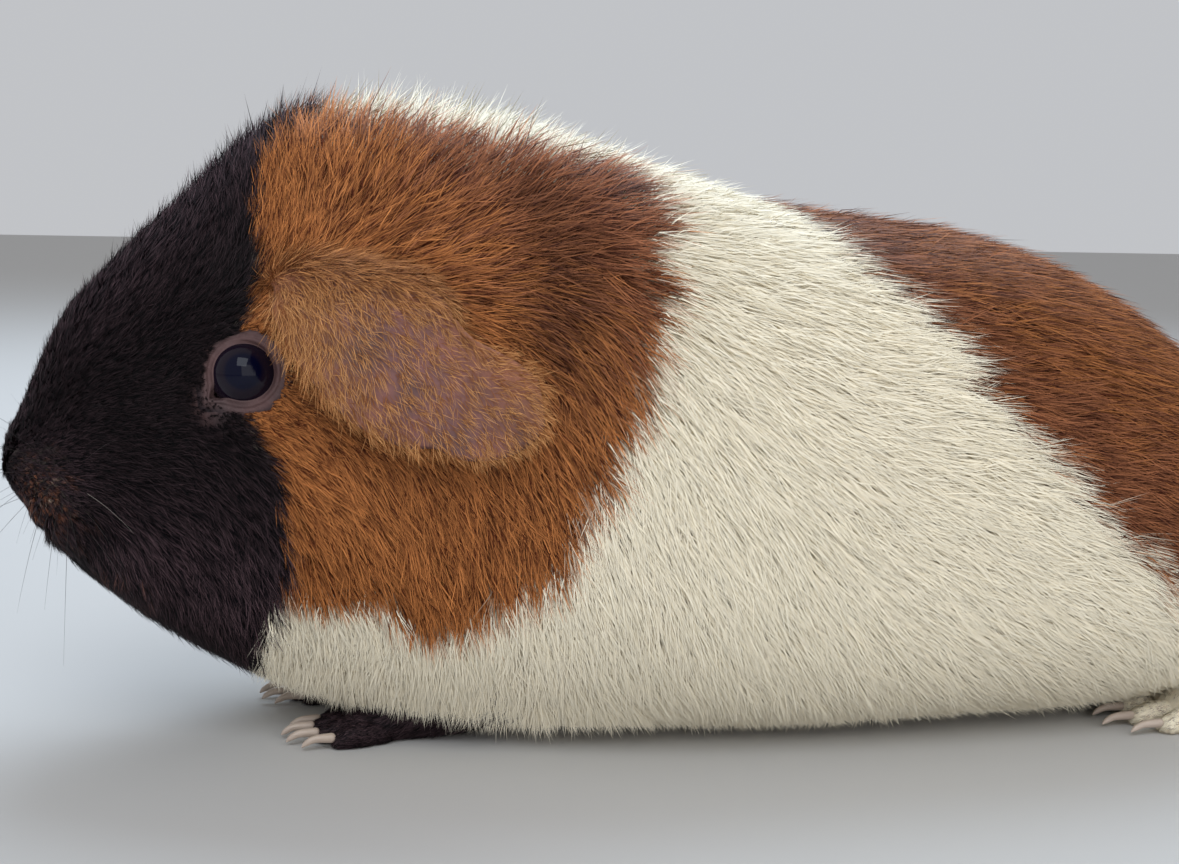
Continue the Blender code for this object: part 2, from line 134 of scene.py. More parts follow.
# soft swellings on both sides: middle (x, y, z), reach and height
SWELLINGS = (
    ((11.0, 12.5, 42.0), 6.5, 1.3),    # whisker pad
    ((18.5, 33.0, 77.0), 8.0, 1.0),    # brow
    ((29.0, 49.0, 40.0), 13.0, 1.8),   # cheek
    ((47.0, 104.0, 34.0), 20.0, 1.8),  # shoulder
    ((52.0, 196.0, 34.0), 26.0, 2.6),  # haunch
)


def unit(vectors):
    """Vectors divided by their own lengths."""
    return vectors / np.maximum(np.linalg.norm(vectors, axis=-1, keepdims=True), 1e-9)


def smooth_step(x):
    """0 below 0, 1 above 1 and 3x² - 2x³ between."""
    x = np.clip(x, 0.0, 1.0)
    return x * x * (3.0 - 2.0 * x)


def bell(distance, reach):
    """exp(-(distance / reach)²): 1 in the middle and near 0 beyond two reaches."""
    return np.exp(-((distance / reach) ** 2))


def through(rows, t):
    """A smooth curve through rows of numbers (Catmull-Rom), read at places t counted in rows."""
    rows = np.asarray(rows, float)
    t = np.clip(t, 0.0, len(rows) - 1.0)
    padded = np.vstack([2.0 * rows[0] - rows[1], rows, 2.0 * rows[-1] - rows[-2]])
    i = np.minimum(t.astype(int), len(rows) - 2)
    f = (t - i)[..., None]
    a, b, c, d = (padded[i + k] for k in range(4))
    return b + 0.5 * f * (c - a + f * (2.0 * a - 5.0 * b + 4.0 * c - d + f * (3.0 * (b - c) + d - a)))


def outline(t, turn):
    """A point of the body's loft. x = half width · sin^p and y, z lie cos^p of the way from the
    widest level to the top or the bottom line, with p = 2 / power of that half."""
    row = through(STATIONS, t)
    top, bottom, wide = row[..., 0:2], row[..., 2:4], np.maximum(row[..., 4], 0.0)
    widest = bottom + (top - bottom) * row[..., 5:6]
    upper = np.cos(turn) >= 0.0
    power = 2.0 / np.where(upper, row[..., 6], row[..., 7])
    x = wide * np.sign(np.sin(turn)) * np.abs(np.sin(turn)) ** power
    reach = np.where(upper[..., None], top - widest, bottom - widest)
    yz = widest + (np.abs(np.cos(turn)) ** power)[..., None] * reach
    return np.concatenate([x[..., None], yz], axis=-1)


def grid_normals(points, closed=True):
    """Outward normals of a grid: the cross product of the steps along a row and down a column. A
    closed grid's last column is its first one again. A row that is a single point takes the
    mean direction of the row next to it."""
    along = np.gradient(points, axis=1)
    if closed:
        along[:, [0, -1]] = (points[:, 1:2] - points[:, -2:-1]) / 2.0
    normals = unit(np.cross(along, np.gradient(points, axis=0)))
    for end, beside in ((0, 1), (-1, -2)):
        if np.ptp(points[end], axis=0).max() < 1e-6:
            normals[end] = unit(normals[beside].mean(axis=0))
    return normals


# %% The grid of the skin
# How many rows reach each station: close together on the face, wide apart on the body.
ROW_COUNTS, ROW_STATIONS = (0, 26, 60, 96, 152, 200, 284), (0.0, 1.0, 3.0, 5.5, 8.0, 11.0, 21.0)
COLUMNS = 224
station = np.interp(np.arange(ROW_COUNTS[-1] + 1), ROW_COUNTS, ROW_STATIONS)
angle = np.linspace(0.0, 2.0 * math.pi, COLUMNS + 1)
T, TURN = np.meshgrid(station, angle, indexing="ij")
SIDE = np.where(TURN <= math.pi, 1.0, -1.0)
DOWN = np.degrees(np.minimum(TURN, 2.0 * math.pi - TURN))   # 0 on the back, 180 under the belly

coat = outline(T, TURN)
coat_out = grid_normals(coat)
for (x, y, z), reach, height in SWELLINGS:
    for _, side in SIDES:
        away = np.linalg.norm(coat - (side * x, y, z), axis=-1, keepdims=True)
        coat = coat + coat_out * height * bell(away, reach)
print("the grid has", T.size, "points; the loft is", np.round(np.ptp(coat, axis=(0, 1)), 1), "mm")

# %% [markdown]
# ## The lie of the coat
#
# Hair isn't the same length everywhere, and it doesn't point the same way. On the muzzle it is
# under 3 mm and lies back from the nose; over the crown it stands up as a crest; on the flank it
# runs back and down. A few places on the body say which way the hair lies, how long it is and how
# deep the coat is there, and every other place takes a blend of the nearest of them.

# %% How the hair lies
# station, degrees down from the back, lie (0 back, 90 down, -90 up), length and depth of the coat
LIE = np.array((
    (0.2, 90, 0, 1.2, 0.4), (1.3, 15, 0, 2.2, 0.8), (1.5, 90, 5, 2.2, 0.7), (1.5, 160, 0, 1.8, 0.5),
    (3.0, 8, -3, 4.0, 1.7), (3.0, 55, -6, 3.4, 1.1), (3.2, 95, 5, 3.4, 1.0), (3.0, 130, 35, 3.6, 1.1),
    (3.0, 170, 10, 3.8, 1.2), (5.0, 8, -5, 5.0, 2.2), (5.2, 42, -10, 4.2, 1.3), (5.0, 76, 4, 3.6, 1.0),
    (5.3, 96, 26, 4.6, 1.4), (5.2, 124, 58, 6.5, 1.9), (5.0, 175, 15, 6.0, 1.5), (6.5, 8, -28, 7.0, 4.0),
    (6.6, 40, -32, 5.6, 2.2), (6.7, 76, 12, 3.4, 1.1), (6.5, 98, 32, 5.4, 1.9), (6.8, 112, 42, 6.5, 2.2),
    (6.8, 130, 62, 7.5, 2.6), (6.8, 170, 20, 7.0, 2.0), (7.6, 6, -45, 10.5, 7.5), (7.6, 42, -66, 8.5, 4.0),
    (7.4, 60, -62, 6.0, 1.7), (7.8, 76, 18, 4.0, 1.1), (7.9, 92, 34, 6.5, 1.7), (8.0, 112, 50, 9.0, 2.3),
    (8.2, 133, 86, 11.0, 2.6), (8.4, 165, 55, 8.0, 1.2), (8.8, 6, -50, 12.5, 10.5),
    (8.7, 34, -78, 11.5, 7.4), (8.9, 90, 30, 8.0, 2.0), (9.0, 104, 44, 10.0, 2.6),
    (9.3, 127, 80, 11.0, 2.9), (9.9, 6, -40, 12.5, 10.0), (9.7, 34, -74, 12.0, 7.8),
    (9.6, 54, -28, 9.5, 3.3), (9.8, 92, 56, 9.5, 2.4), (10.0, 110, 72, 11.0, 2.9),
    (10.0, 160, 72, 9.0, 1.0), (11.2, 6, -25, 12.0, 8.0), (11.0, 33, -55, 12.5, 8.0),
    (10.6, 46, -28, 11.5, 6.4), (11.4, 44, 0, 11.5, 6.4), (11.0, 56, 26, 11.0, 3.9),
    (10.8, 78, 40, 11.0, 3.3), (11.0, 90, 56, 11.0, 3.2), (11.0, 110, 70, 11.0, 2.7),
    (11.4, 160, 60, 8.0, 0.9), (11.6, 68, 60, 11.5, 3.6), (12.0, 58, 16, 11.5, 3.2),
    (12.2, 40, 3, 11.5, 3.5), (12.2, 10, 0, 11.5, 4.0), (12.0, 76, 34, 11.5, 3.0),
    (12.1, 98, 57, 11.0, 2.6), (12.4, 122, 62, 10.0, 1.9), (13.5, 12, 6, 12.0, 3.6),
    (13.2, 50, 0, 12.0, 3.3), (13.0, 66, 18, 12.0, 3.1), (13.2, 86, 32, 11.5, 2.9),
    (12.8, 102, 42, 11.0, 2.4), (13.0, 165, 25, 7.0, 0.6), (14.6, 36, 14, 12.0, 3.5),
    (14.2, 68, 9, 12.0, 3.1), (14.2, 88, 17, 11.5, 2.9), (14.2, 106, 31, 11.0, 2.2),
    (15.5, 10, 5, 12.0, 3.7), (15.4, 50, 8, 12.0, 3.3), (15.4, 70, 2, 12.0, 3.2), (15.4, 92, 20, 11.5, 2.7),
    (15.4, 110, 29, 11.0, 2.2), (15.5, 165, 12, 7.0, 0.6), (18.0, 20, 4, 13.0, 4.0),
    (18.0, 78, 12, 13.0, 3.3), (18.0, 120, 24, 11.0, 2.0), (18.0, 165, 5, 7.0, 0.7),
    (20.0, 60, 8, 13.0, 3.5), (20.8, 90, 0, 12.0, 3.1), (20.0, 160, 0, 9.0, 1.6),
))
STATION_REACH, ANGLE_REACH = 0.9, 17.0


def blended(t, down):
    """Lie, length and depth at a place: the mean of the rows of LIE, each weighed by
    exp(-(stations away / reach)² - (degrees away / reach)²)."""
    stations_off = (t[..., None] - LIE[:, 0]) / STATION_REACH
    degrees_off = (down[..., None] - LIE[:, 1]) / ANGLE_REACH
    share = np.exp(-np.minimum(stations_off**2 + degrees_off**2, 60.0)) + 1e-30
    share /= share.sum(axis=-1, keepdims=True)
    lie = np.radians(LIE[:, 2])
    heading = np.arctan2(share @ np.sin(lie), share @ np.cos(lie))
    return heading, share @ LIE[:, 3], share @ LIE[:, 4]


HEADING, LENGTH, DEPTH = blended(T, DOWN)
print("the coat is", DEPTH.min().round(1), "to", DEPTH.max().round(1), "mm deep")

# %% [markdown]
# ## Markings
#
# The coat has four areas: the black mask, the orange head and neck, the red-brown saddle and the
# cream ground, with a cream blaze along the crown. Each is bounded by a line that says at which
# station, or how far down the side, the colour changes. Slow waves are added so that the edges
# wander, and the tufts that cross an edge feather it.

# %% Where the colours change
MASK_DOWN = (0, 7, 35, 61, 68, 71, 78, 88, 95, 114, 130, 180)
MASK_STATION = (7.7, 7.75, 7.0, 6.9, 6.75, 6.6, 6.7, 7.0, 7.35, 7.65, 7.5, 7.2)
ORANGE_DOWN = (0, 19, 62, 85, 98, 110, 117, 130)
ORANGE_STATION = (11.9, 11.9, 11.4, 11.0, 10.5, 9.85, 9.4, 8.9)
ORANGE_LOW_STATION, ORANGE_LOW = (7.2, 7.8, 8.9, 9.5, 10.5), (124, 119, 111, 117, 122)
BLAZE_STATION, BLAZE_DOWN = (7.6, 7.8, 8.4, 9.3, 10.1, 11.0, 11.9, 12.4), (0, 6, 16, 22, 25, 21, 16, 10)
SADDLE_STATION = (12.95, 13.2, 13.45, 13.8, 14.1, 14.4, 14.9, 15.2, 15.8, 17.5, 19.0, 20.0, 20.6, 20.9)
SADDLE_DOWN = (0, 15, 34, 49, 63, 72, 80, 87, 91, 97, 100, 88, 60, -20)
NO_SADDLE = -20                                # so far above the back that nothing is covered


def waves(points, size, seed, count=9):
    """Smooth pseudo-noise from -1 to 1: the mean of sines along random directions, with waves
    about `size` long."""
    chance = np.random.default_rng(seed)
    ways = unit(chance.normal(size=(count, 3))) * chance.uniform(0.6, 1.4, (count, 1)) * 2.0 * math.pi / size
    phase = chance.uniform(0.0, 2.0 * math.pi, count)
    return np.sin(points @ ways.T + phase).mean(axis=-1) * 1.8


SOFT_STATION, SOFT_DOWN = 0.30, 6.0            # how softly the edges pass over
SOFT_SADDLE = 1.6 * SOFT_DOWN


def markings(points, t, down):
    """Shares of black, orange and red-brown at a place. Each is 1 on its side of a boundary that
    waves move by a few millimetres, and what is left over is cream."""
    wander = waves(points, 16.0, 3) + 0.5 * waves(points, 6.0, 4)
    mask_edge = np.interp(down, MASK_DOWN, MASK_STATION) + 0.10 * wander
    mask = smooth_step((mask_edge - t) / SOFT_STATION + 0.5)
    neck_edge = np.interp(down, ORANGE_DOWN, ORANGE_STATION) + 0.12 * wander
    ahead = smooth_step((neck_edge - t) / SOFT_STATION + 0.5)
    low_edge = np.interp(t, ORANGE_LOW_STATION, ORANGE_LOW) + 3.0 * wander
    above = smooth_step((low_edge - down) / SOFT_DOWN + 0.5)
    blaze_edge = np.interp(t, BLAZE_STATION, BLAZE_DOWN) + 2.5 * wander
    blaze = smooth_step((blaze_edge - down) / SOFT_DOWN + 0.5)
    orange = (1.0 - mask) * ahead * above * (1.0 - blaze * smooth_step((t - 7.6) * 4.0))
    saddle_edge = np.interp(t, SADDLE_STATION, SADDLE_DOWN, left=NO_SADDLE, right=NO_SADDLE) + 3.0 * wander
    saddle = smooth_step((saddle_edge - down) / SOFT_SADDLE + 0.5) * smooth_step((t - 12.8) * 4.0)
    red_saddle = saddle * (0.45 + 0.5 * bell(saddle_edge - down, 18.0))
    red_neck = orange * smooth_step((t - 7.4) / 3.6) * smooth_step((95.0 - down) / 60.0)
    both = np.clip(orange + saddle, 0.0, 1.0)
    return np.stack([mask, both, np.clip(red_saddle + red_neck, 0.0, 1.0)], axis=-1)


PIGMENT = markings(coat, T, DOWN)
print("share of the grid that is black, orange, red:", PIGMENT.mean(axis=(0, 1)).round(2))

# %% [markdown]
# ## The face
#
# The skin lies under the outline by the depth of the coat. On the head it has folds of its own:
# a socket for each eye, the slits of the nostrils, the cleft of the upper lip and the mouth,
# which curves up to its corners. They are dents and swellings along the skin's normal, each a
# bell over the distance to a point or a line.

# %% The skin with its folds
EYE_MIDDLE = np.array((21.4, 39.9, 63.7))
EYE_RADIUS = 5.7
EYE_AXIS = unit(np.array((0.96, -0.20, 0.18)))
SOCKET_RADIUS, SOCKET_DEPTH = 6.5, 7.0
NOSTRIL_IN, NOSTRIL_OUT = np.array((1.9, 47.6)), np.array((4.8, 50.8))   # (x, z) of the slit's ends
MOUTH_LEVEL, MOUTH_RISE, MOUTH_HALF = 36.0, 0.0355, 12.5                 # z = level + rise · x²
PARTING_STATION, PARTING_REACH, PARTING_DEPTH = 10.45, 0.42, 1.2         # behind the ear


def mirrored(points):
    """The points with those of the right side moved to the left side."""
    return points * np.where(points[..., :1] < 0.0, (-1.0, 1.0, 1.0), (1.0, 1.0, 1.0))


def from_eye(points):
    """How far points of the left side lie from the eye's axis, and how far ahead along it."""
    along = (points - EYE_MIDDLE) @ EYE_AXIS
    return np.linalg.norm(points - EYE_MIDDLE - along[..., None] * EYE_AXIS, axis=-1), along


def to_segment(points, start, end):
    """Distance in a plane from points to the stretch between two ends."""
    line = end - start
    share = np.clip((points - start) @ line / (line @ line), 0.0, 1.0)
    return np.linalg.norm(points - start - share[..., None] * line, axis=-1)


left = mirrored(coat)
eye_away, eye_ahead = from_eye(left)
beside_eye = np.where(eye_ahead > 0.0, eye_away, 60.0)
near_eye = 1.0 - smooth_step((beside_eye - 5.0) / 7.0)
DEPTH = DEPTH * (1.0 - near_eye) + 0.7 * near_eye
LENGTH = LENGTH * (1.0 - 0.62 * near_eye)

TAN_LIPS, TAN_CHIN, BARE_CORNER = (10.0, 9.0, 43.0), (10.0, 19.0, 30.0), (23.0, 33.7, 59.2)


def near(place, reach):
    """1 at a place of the left side, or its mirror image, and near 0 two reaches away."""
    return bell(np.linalg.norm(left - place, axis=-1), reach)


tan = (0.28 * near(TAN_LIPS, 6.5) + 0.10 * near(TAN_CHIN, 9.0)) * (PIGMENT[..., 0] > 0.5)
tan = np.where(tan > 0.04, tan, 0.0)
PIGMENT[..., 0] *= 1.0 - tan
PIGMENT[..., 1:] = np.maximum(PIGMENT[..., 1:], np.stack([tan, np.where(tan > 0.0, 1.0, 0.0)], axis=-1))
PIGMENT[..., 1] *= 1.0 - 0.6 * tan
bare_corner = np.minimum(1.0, 1.6 * near(BARE_CORNER, 3.2))
LENGTH = LENGTH * (1.0 - 0.6 * near(BARE_CORNER, 5.0))
LENGTH = LENGTH * (1.0 - 0.5 * near(TAN_LIPS, 6.0))

face = smooth_step((4.6 - T) / 0.8)
nostril = to_segment(left[..., [0, 2]], NOSTRIL_IN, NOSTRIL_OUT)
front = smooth_step((14.0 - left[..., 1]) / 4.0)
lip = left[..., 2] - MOUTH_LEVEL - MOUTH_RISE * left[..., 0] ** 2
in_mouth = smooth_step((MOUTH_HALF - left[..., 0]) / 2.0) * face
cleft = smooth_step((46.5 - left[..., 2]) / 1.5) * smooth_step(lip / 0.6) * front
parting = smooth_step((DOWN - 30.0) / 12.0) * smooth_step((82.0 - DOWN) / 14.0)
folds = (
    -1.5 * bell(nostril, 0.7) * front
    + 0.45 * bell(nostril - 1.7, 0.8) * front
    - 0.7 * bell(left[..., 0], 0.5) * cleft
    - 1.0 * bell(lip, 0.5) * in_mouth
    + 0.5 * bell(lip - 1.9, 1.4) * in_mouth
    + 0.4 * bell(lip + 2.0, 1.4) * in_mouth
    - PARTING_DEPTH * bell(T - PARTING_STATION, PARTING_REACH) * parting
)
skin = coat + coat_out * (folds - DEPTH)[..., None]
socket = smooth_step((SOCKET_RADIUS - beside_eye) / 1.5) * SOCKET_DEPTH
across = np.stack([np.sign(coat[..., 0]), np.ones_like(T), np.ones_like(T)], axis=-1)
face_skin = skin.copy()
skin = skin - socket[..., None] * EYE_AXIS * across
SOLE = 0.4                                     # the skin's lowest level over the floor
skin[..., 2] = np.maximum(skin[..., 2], SOLE)
skin_out = grid_normals(face_skin)
print("the skin is", np.round(np.ptp(skin, axis=(0, 1)), 1), "mm")

# %% [markdown]
# ## Eyelids
#
# The lids are a soft ring round the eyeball. It is worked out in the eye's own round measure: how
# far from the eye's axis, and which way round. The inner edge is nearly a circle, drawn out to a
# corner towards the nose, and the profile rises from the ball to a wet margin, sinks into a fold
# and runs out under the skin of the face.

# %% The ring of the lids
EYE_BACK = unit(np.cross((0.0, 0.0, 1.0), EYE_AXIS))
EYE_UP = np.cross(EYE_AXIS, EYE_BACK)
OPENING_WIDE, OPENING_HIGH = 4.75, 4.55
CORNER_TURN, CORNER_REACH, CORNER_WIDTH = math.radians(-141.0), 1.9, 0.20
LID_TURNS, LID_STEPS = 120, 4
# distance out from the opening, height, and whether it is measured from the ball (0) or the face (1)
LID_PROFILE = (
    (-0.60, -0.50, 0.0), (-0.05, 0.06, 0.0), (0.15, 0.32, 0.2), (0.40, 0.40, 0.7), (0.75, 0.30, 1.0),
    (1.10, 0.12, 1.0), (1.60, 0.18, 1.0), (2.40, 0.08, 1.0), (3.40, -0.10, 1.0), (4.60, -0.50, 1.0),
)


def surface_fit(p, q, values, degree=3):
    """A polynomial in p and q that comes nearest to the values, as a function (least squares)."""
    powers = [(i, j) for i in range(degree + 1) for j in range(degree + 1 - i)]
    terms = np.stack([p**i * q**j for i, j in powers], axis=-1)
    share, *_ = np.linalg.lstsq(terms, values, rcond=None)
    return lambda a, b: np.stack([a**i * b**j for i, j in powers], axis=-1) @ share


around_eye = (beside_eye < 13.0) & (SIDE > 0.0)
off_eye = face_skin[around_eye] - EYE_MIDDLE
face_height = surface_fit(off_eye @ EYE_BACK, off_eye @ EYE_UP, off_eye @ EYE_AXIS)


def lid_ring():
    """Places of the left lids: middle + r·(cos ψ · back + sin ψ · up) + h · axis, where r and h
    follow the profile outwards and ψ goes round. Rows go round, columns go outwards."""
    turn = np.linspace(0.0, 2.0 * math.pi, LID_TURNS + 1)[:, None]
    last = len(LID_PROFILE) - 1
    profile = through(LID_PROFILE, np.linspace(0.0, last, LID_STEPS * last + 1))
    opening = OPENING_WIDE * OPENING_HIGH / np.hypot(OPENING_HIGH * np.cos(turn), OPENING_WIDE * np.sin(turn))
    from_corner = (turn - CORNER_TURN + math.pi) % (2.0 * math.pi) - math.pi
    corner = np.exp(-np.abs(from_corner / CORNER_WIDTH) ** 1.4)
    radius = opening + CORNER_REACH * corner + profile[None, :, 0] * (1.0 - 0.25 * corner)
    back, up = radius * np.cos(turn), radius * np.sin(turn)
    face_level = face_height(back, up)
    ball = np.sqrt(np.maximum(EYE_RADIUS**2 - radius**2, 0.1))
    ball = np.maximum(ball, face_level - 0.7)
    share = profile[None, :, 2]
    wrinkle = 0.05 * np.sin(turn * 23.0 + 2.0 * profile[None, :, 0]) * bell(profile[None, :, 0] - 1.6, 1.0)
    height = ball * (1.0 - share) + face_level * share + profile[None, :, 1] + wrinkle
    grid = EYE_MIDDLE + back[..., None] * EYE_BACK + up[..., None] * EYE_UP + height[..., None] * EYE_AXIS
    return grid, profile[None, :, 0] + 0.0 * turn


lids, from_margin = lid_ring()
print("the lids reach", from_margin.max(), "mm out from the eye's opening")

# %% [markdown]
# ## Ears
#
# A guinea pig's ear is a thin petal that hangs from the side of the head. It grows from a root
# line to a free edge with a notch at the back, bows outwards, and has a thickness that runs out
# to a rounded rim. One closed sheet does it: down its outer face, round the rim and up its inner.

# %% The petal of the ear
EAR_ROOT = ((43.5, 78.0), (46.5, 80.8), (50.5, 82.0), (55.0, 82.2), (60.0, 81.4), (64.4, 79.8), (68.0, 76.6))
EAR_EDGE = ((42.0, 74.5), (46.2, 66.0), (53.6, 57.8), (63.8, 53.4), (74.2, 52.8), (80.8, 57.2), (80.6, 64.8))
EAR_THICKNESS, EAR_CLEARANCE, EAR_LIFT, EAR_BOW = 1.0, 1.5, 6.0, 2.2
EAR_NOTCH, EAR_NOTCH_LEVEL, EAR_NOTCH_REACH = 3.6, 0.42, 0.26
EAR_NICK, EAR_NICK_LEVEL, EAR_NICK_REACH = 1.2, 0.52, 0.035
EAR_SINK, EAR_SINK_REACH = 5.0, 0.10           # how far the root line is sunk under the coat
EAR_ROWS, EAR_COLUMNS = 72, 52

beside_ear = (T > 6.2) & (T < 12.0) & (DOWN > 28.0) & (DOWN < 112.0) & (SIDE > 0.0)
EAR_Y, EAR_Z = 64.0, 68.0                      # the middle of the fit to the side of the head
head_x, head_y, head_z = coat[beside_ear].T
head_side = surface_fit(head_y - EAR_Y, head_z - EAR_Z, head_x, 4)


def petal():
    """The left ear. (y, z) goes from the root line to the free edge; x is the side of the head
    plus clearance + lift · v + bow · sin πv; half the thickness, times a side that runs from
    1 to -1 round the rim, moves it along its normal."""
    round_rim = np.linspace(0.0, 1.0, EAR_ROWS + 1)[:, None]
    v = 1.0 - np.abs(2.0 * round_rim - 1.0)
    u = np.linspace(0.0, 1.0, EAR_COLUMNS + 1)[None]
    last = len(EAR_ROOT) - 1.0
    root, edge = through(EAR_ROOT, u * last), through(EAR_EDGE, u * last)
    yz = root + (edge - root) * v[..., None]
    notch = EAR_NOTCH * bell(v - EAR_NOTCH_LEVEL, EAR_NOTCH_REACH) * u**6 * (1.0 - v**4)
    nick = EAR_NICK * bell(u - EAR_NICK_LEVEL, EAR_NICK_REACH) * v**8
    yz = yz - np.stack([notch, -nick + 0.0 * v], axis=-1)
    side = head_side(yz[..., 0] - EAR_Y, yz[..., 1] - EAR_Z)
    straight = side[:1] + (side[EAR_ROWS // 2] - side[:1]) * v
    stand_off = EAR_CLEARANCE + EAR_LIFT * v + EAR_BOW * np.sin(math.pi * v)
    ridges = 0.5 * bell(u - 0.30 - 0.25 * v, 0.10)
    ridges = ridges - 0.6 * bell(u - 0.62 - 0.1 * v, 0.13) * np.sin(math.pi * v)
    rim_wave = 0.35 * np.sin(9.0 * u + 1.0) * v**3
    x = np.maximum(straight + stand_off, side + EAR_CLEARANCE) + ridges + rim_wave
    x = x - EAR_SINK * smooth_step((EAR_SINK_REACH - v) / EAR_SINK_REACH)
    sheet = np.concatenate([x[..., None], yz], axis=-1)
    outer_face = sheet[: EAR_ROWS // 2 + 1]
    outward = unit(np.cross(np.gradient(outer_face, axis=1), np.gradient(outer_face, axis=0)))
    outward = np.vstack([outward, outward[-2::-1]]) * np.sign(outward[4, EAR_COLUMNS // 2, 0])
    half = EAR_THICKNESS / 2.0 * np.sqrt(1.0 - np.abs(2.0 * u - 1.0) ** 12)
    way = np.cos(math.pi * round_rim)
    grid = sheet + outward * (half * np.sign(way) * np.abs(way) ** 0.35)[..., None]
    return grid[:, ::-1], (u + 0.0 * v)[:, ::-1], v + 0.0 * u


ear, EAR_U, EAR_V = petal()
print("an ear is", np.round(np.ptp(ear, axis=(0, 1)), 1), "mm")

# %% [markdown]
# ## Legs, feet and toes
#
# Short legs and long narrow feet are swept rings: ellipses carried along a path that gives the
# middle, the half width and the half height. The heel is drawn in under the flank, whose fur
# hangs over it. The coat is a millimetre or two deep there, and thinner still on the toes, which
# are the same sweep, four in front and three behind; each ends just behind its claw.

# %% Limbs
# x, y, z, half width and half height of each ring
FORELIMB = (
    (23.0, 90.5, 15.0, 6.0, 6.8), (21.2, 84.5, 12.2, 6.8, 7.4), (18.4, 78.5, 8.8, 6.0, 6.4),
    (15.6, 73.0, 5.9, 5.3, 5.3), (13.7, 68.5, 4.1, 5.2, 4.5), (12.8, 64.5, 3.1, 5.7, 3.9),
    (12.5, 61.5, 2.7, 5.8, 3.5),
)
HINDFOOT = (
    (23.0, 236.0, 8.0, 4.2, 5.0), (28.5, 230.0, 5.6, 5.2, 5.2), (37.0, 221.0, 3.9, 5.8, 4.6),
    (41.2, 211.5, 3.3, 6.2, 4.0), (43.4, 207.0, 2.9, 5.8, 3.5),
)
# toes from the inner one outwards: offset, length, half width
FORE_TOES = ((-4.2, 5.2, 1.75), (-1.5, 7.0, 1.8), (1.5, 6.8, 1.8), (4.3, 4.8, 1.7))
HIND_TOES = ((-4.2, 7.4, 2.2), (0.0, 9.2, 2.3), (4.2, 7.0, 2.2))
TOE_SPREAD, TOE_ROOT, TOE_RISE, TOE_HALF_HEIGHT = 1.25, 2.0, 1.9, 2.2
LEG_COAT, TOE_COAT = 0.9, 0.3
FORE_CLAW, HIND_CLAW, CLAW_RADIUS, CLAW_TIP, GAP = 4.2, 5.2, 0.85, 0.32, 0.3
CAP_RINGS = 6                                  # rings of a round end


def swept(path, sides, steps, grow=0.0):
    """Ellipses along a path of (x, y, z, half width, half height), closed by round ends whose
    rings shrink as sqrt(1 - out²). Rows go along, and the last column is the first again."""
    path = through(path, np.linspace(0.0, len(path) - 1.0, (len(path) - 1) * steps + 1))
    spine, wide, high = path[:, :3], path[:, 3] + grow, path[:, 4] + grow
    ahead = unit(np.gradient(spine, axis=0))
    out = np.sin(np.linspace(0.0, math.pi / 2.0, CAP_RINGS + 1))[1:]
    shrink = np.sqrt(np.maximum(1.0 - out**2, 0.0))
    start = spine[0] - ahead[0] * (high[0] * out[::-1])[:, None]
    end = spine[-1] + ahead[-1] * (high[-1] * out)[:, None]
    middles = np.vstack([start, spine, end])
    scale = np.concatenate([shrink[::-1], np.ones(len(spine)), shrink])
    wide = np.pad(wide, CAP_RINGS, mode="edge") * scale
    high = np.pad(high, CAP_RINGS, mode="edge") * scale
    ahead = np.pad(ahead, ((CAP_RINGS, CAP_RINGS), (0, 0)), mode="edge")
    across = unit(np.cross(ahead, (0.0, 0.0, 1.0)))
    up = np.cross(across, ahead)
    turn = np.linspace(0.0, -2.0 * math.pi, sides + 1)[None, :, None]
    sideways, upwards = (wide[:, None] * across)[:, None], (high[:, None] * up)[:, None]
    return middles[:, None] + np.cos(turn) * sideways + np.sin(turn) * upwards


def toe_path(foot, offset, length, half_width):
    """A toe from inside the front of the foot out to its tip, with a knuckle on the way."""
    x, y = foot[-1][:2]
    tip_x = x + offset * TOE_SPREAD
    return (
        (x + offset, y + TOE_ROOT, TOE_RISE, half_width, TOE_HALF_HEIGHT),
        (tip_x, y - length * 0.35, TOE_RISE * 1.05, half_width * 0.92, TOE_HALF_HEIGHT * 1.02),
        (tip_x, y - length * 0.7, TOE_RISE, half_width, TOE_HALF_HEIGHT),
        (tip_x, y - length, TOE_RISE * 0.8, half_width * 0.9, TOE_HALF_HEIGHT * 0.8),
    )


def claw_path(toe, length):
    """A claw from just ahead of a toe's tip, bending down towards the floor."""
    x, y, z, _, half_height = toe[-1]
    y -= half_height + GAP + CLAW_RADIUS
    thin = CLAW_RADIUS * 0.8
    return (
        (x, y + 0.6, z + 0.5, CLAW_RADIUS, CLAW_RADIUS),
        (x, y - length * 0.5, z + 0.5, thin * 0.85, thin),
        (x, y - length * 0.85, z - 0.1, CLAW_TIP * 1.4, CLAW_TIP * 1.6),
        (x, y - length, z - 0.6, CLAW_TIP * 0.6, CLAW_TIP * 0.6),
    )


limbs = [swept(FORELIMB, 28, 7, -LEG_COAT), swept(HINDFOOT, 28, 8, -LEG_COAT)]
toes, claws = [], {}
for foot_name, foot, spread, claw_length in (
    ("forefoot", FORELIMB, FORE_TOES, FORE_CLAW),
    ("hindfoot", HINDFOOT, HIND_TOES, HIND_CLAW),
):
    for number, toe in enumerate(spread, start=1):
        path = toe_path(foot, *toe)
        toes.append(swept(path, 16, 5, -TOE_COAT))
        claws[foot_name, number] = swept(claw_path(path, claw_length), 12, 5)
for grid in limbs + toes:
    grid[..., 2] = np.maximum(grid[..., 2], SOLE)
print(len(limbs), "limbs,", len(toes), "toes and", len(claws), "claws a side")

# %% [markdown]
# ## Patches of skin
#
# Body, lids, ears, legs and toes are all grids of the same kind, so one small record holds what
# the rest of the script needs of each: its points, its colours and the rectangle that it takes
# up on the flat unwrap of the whole skin. The right side is the left one mirrored.

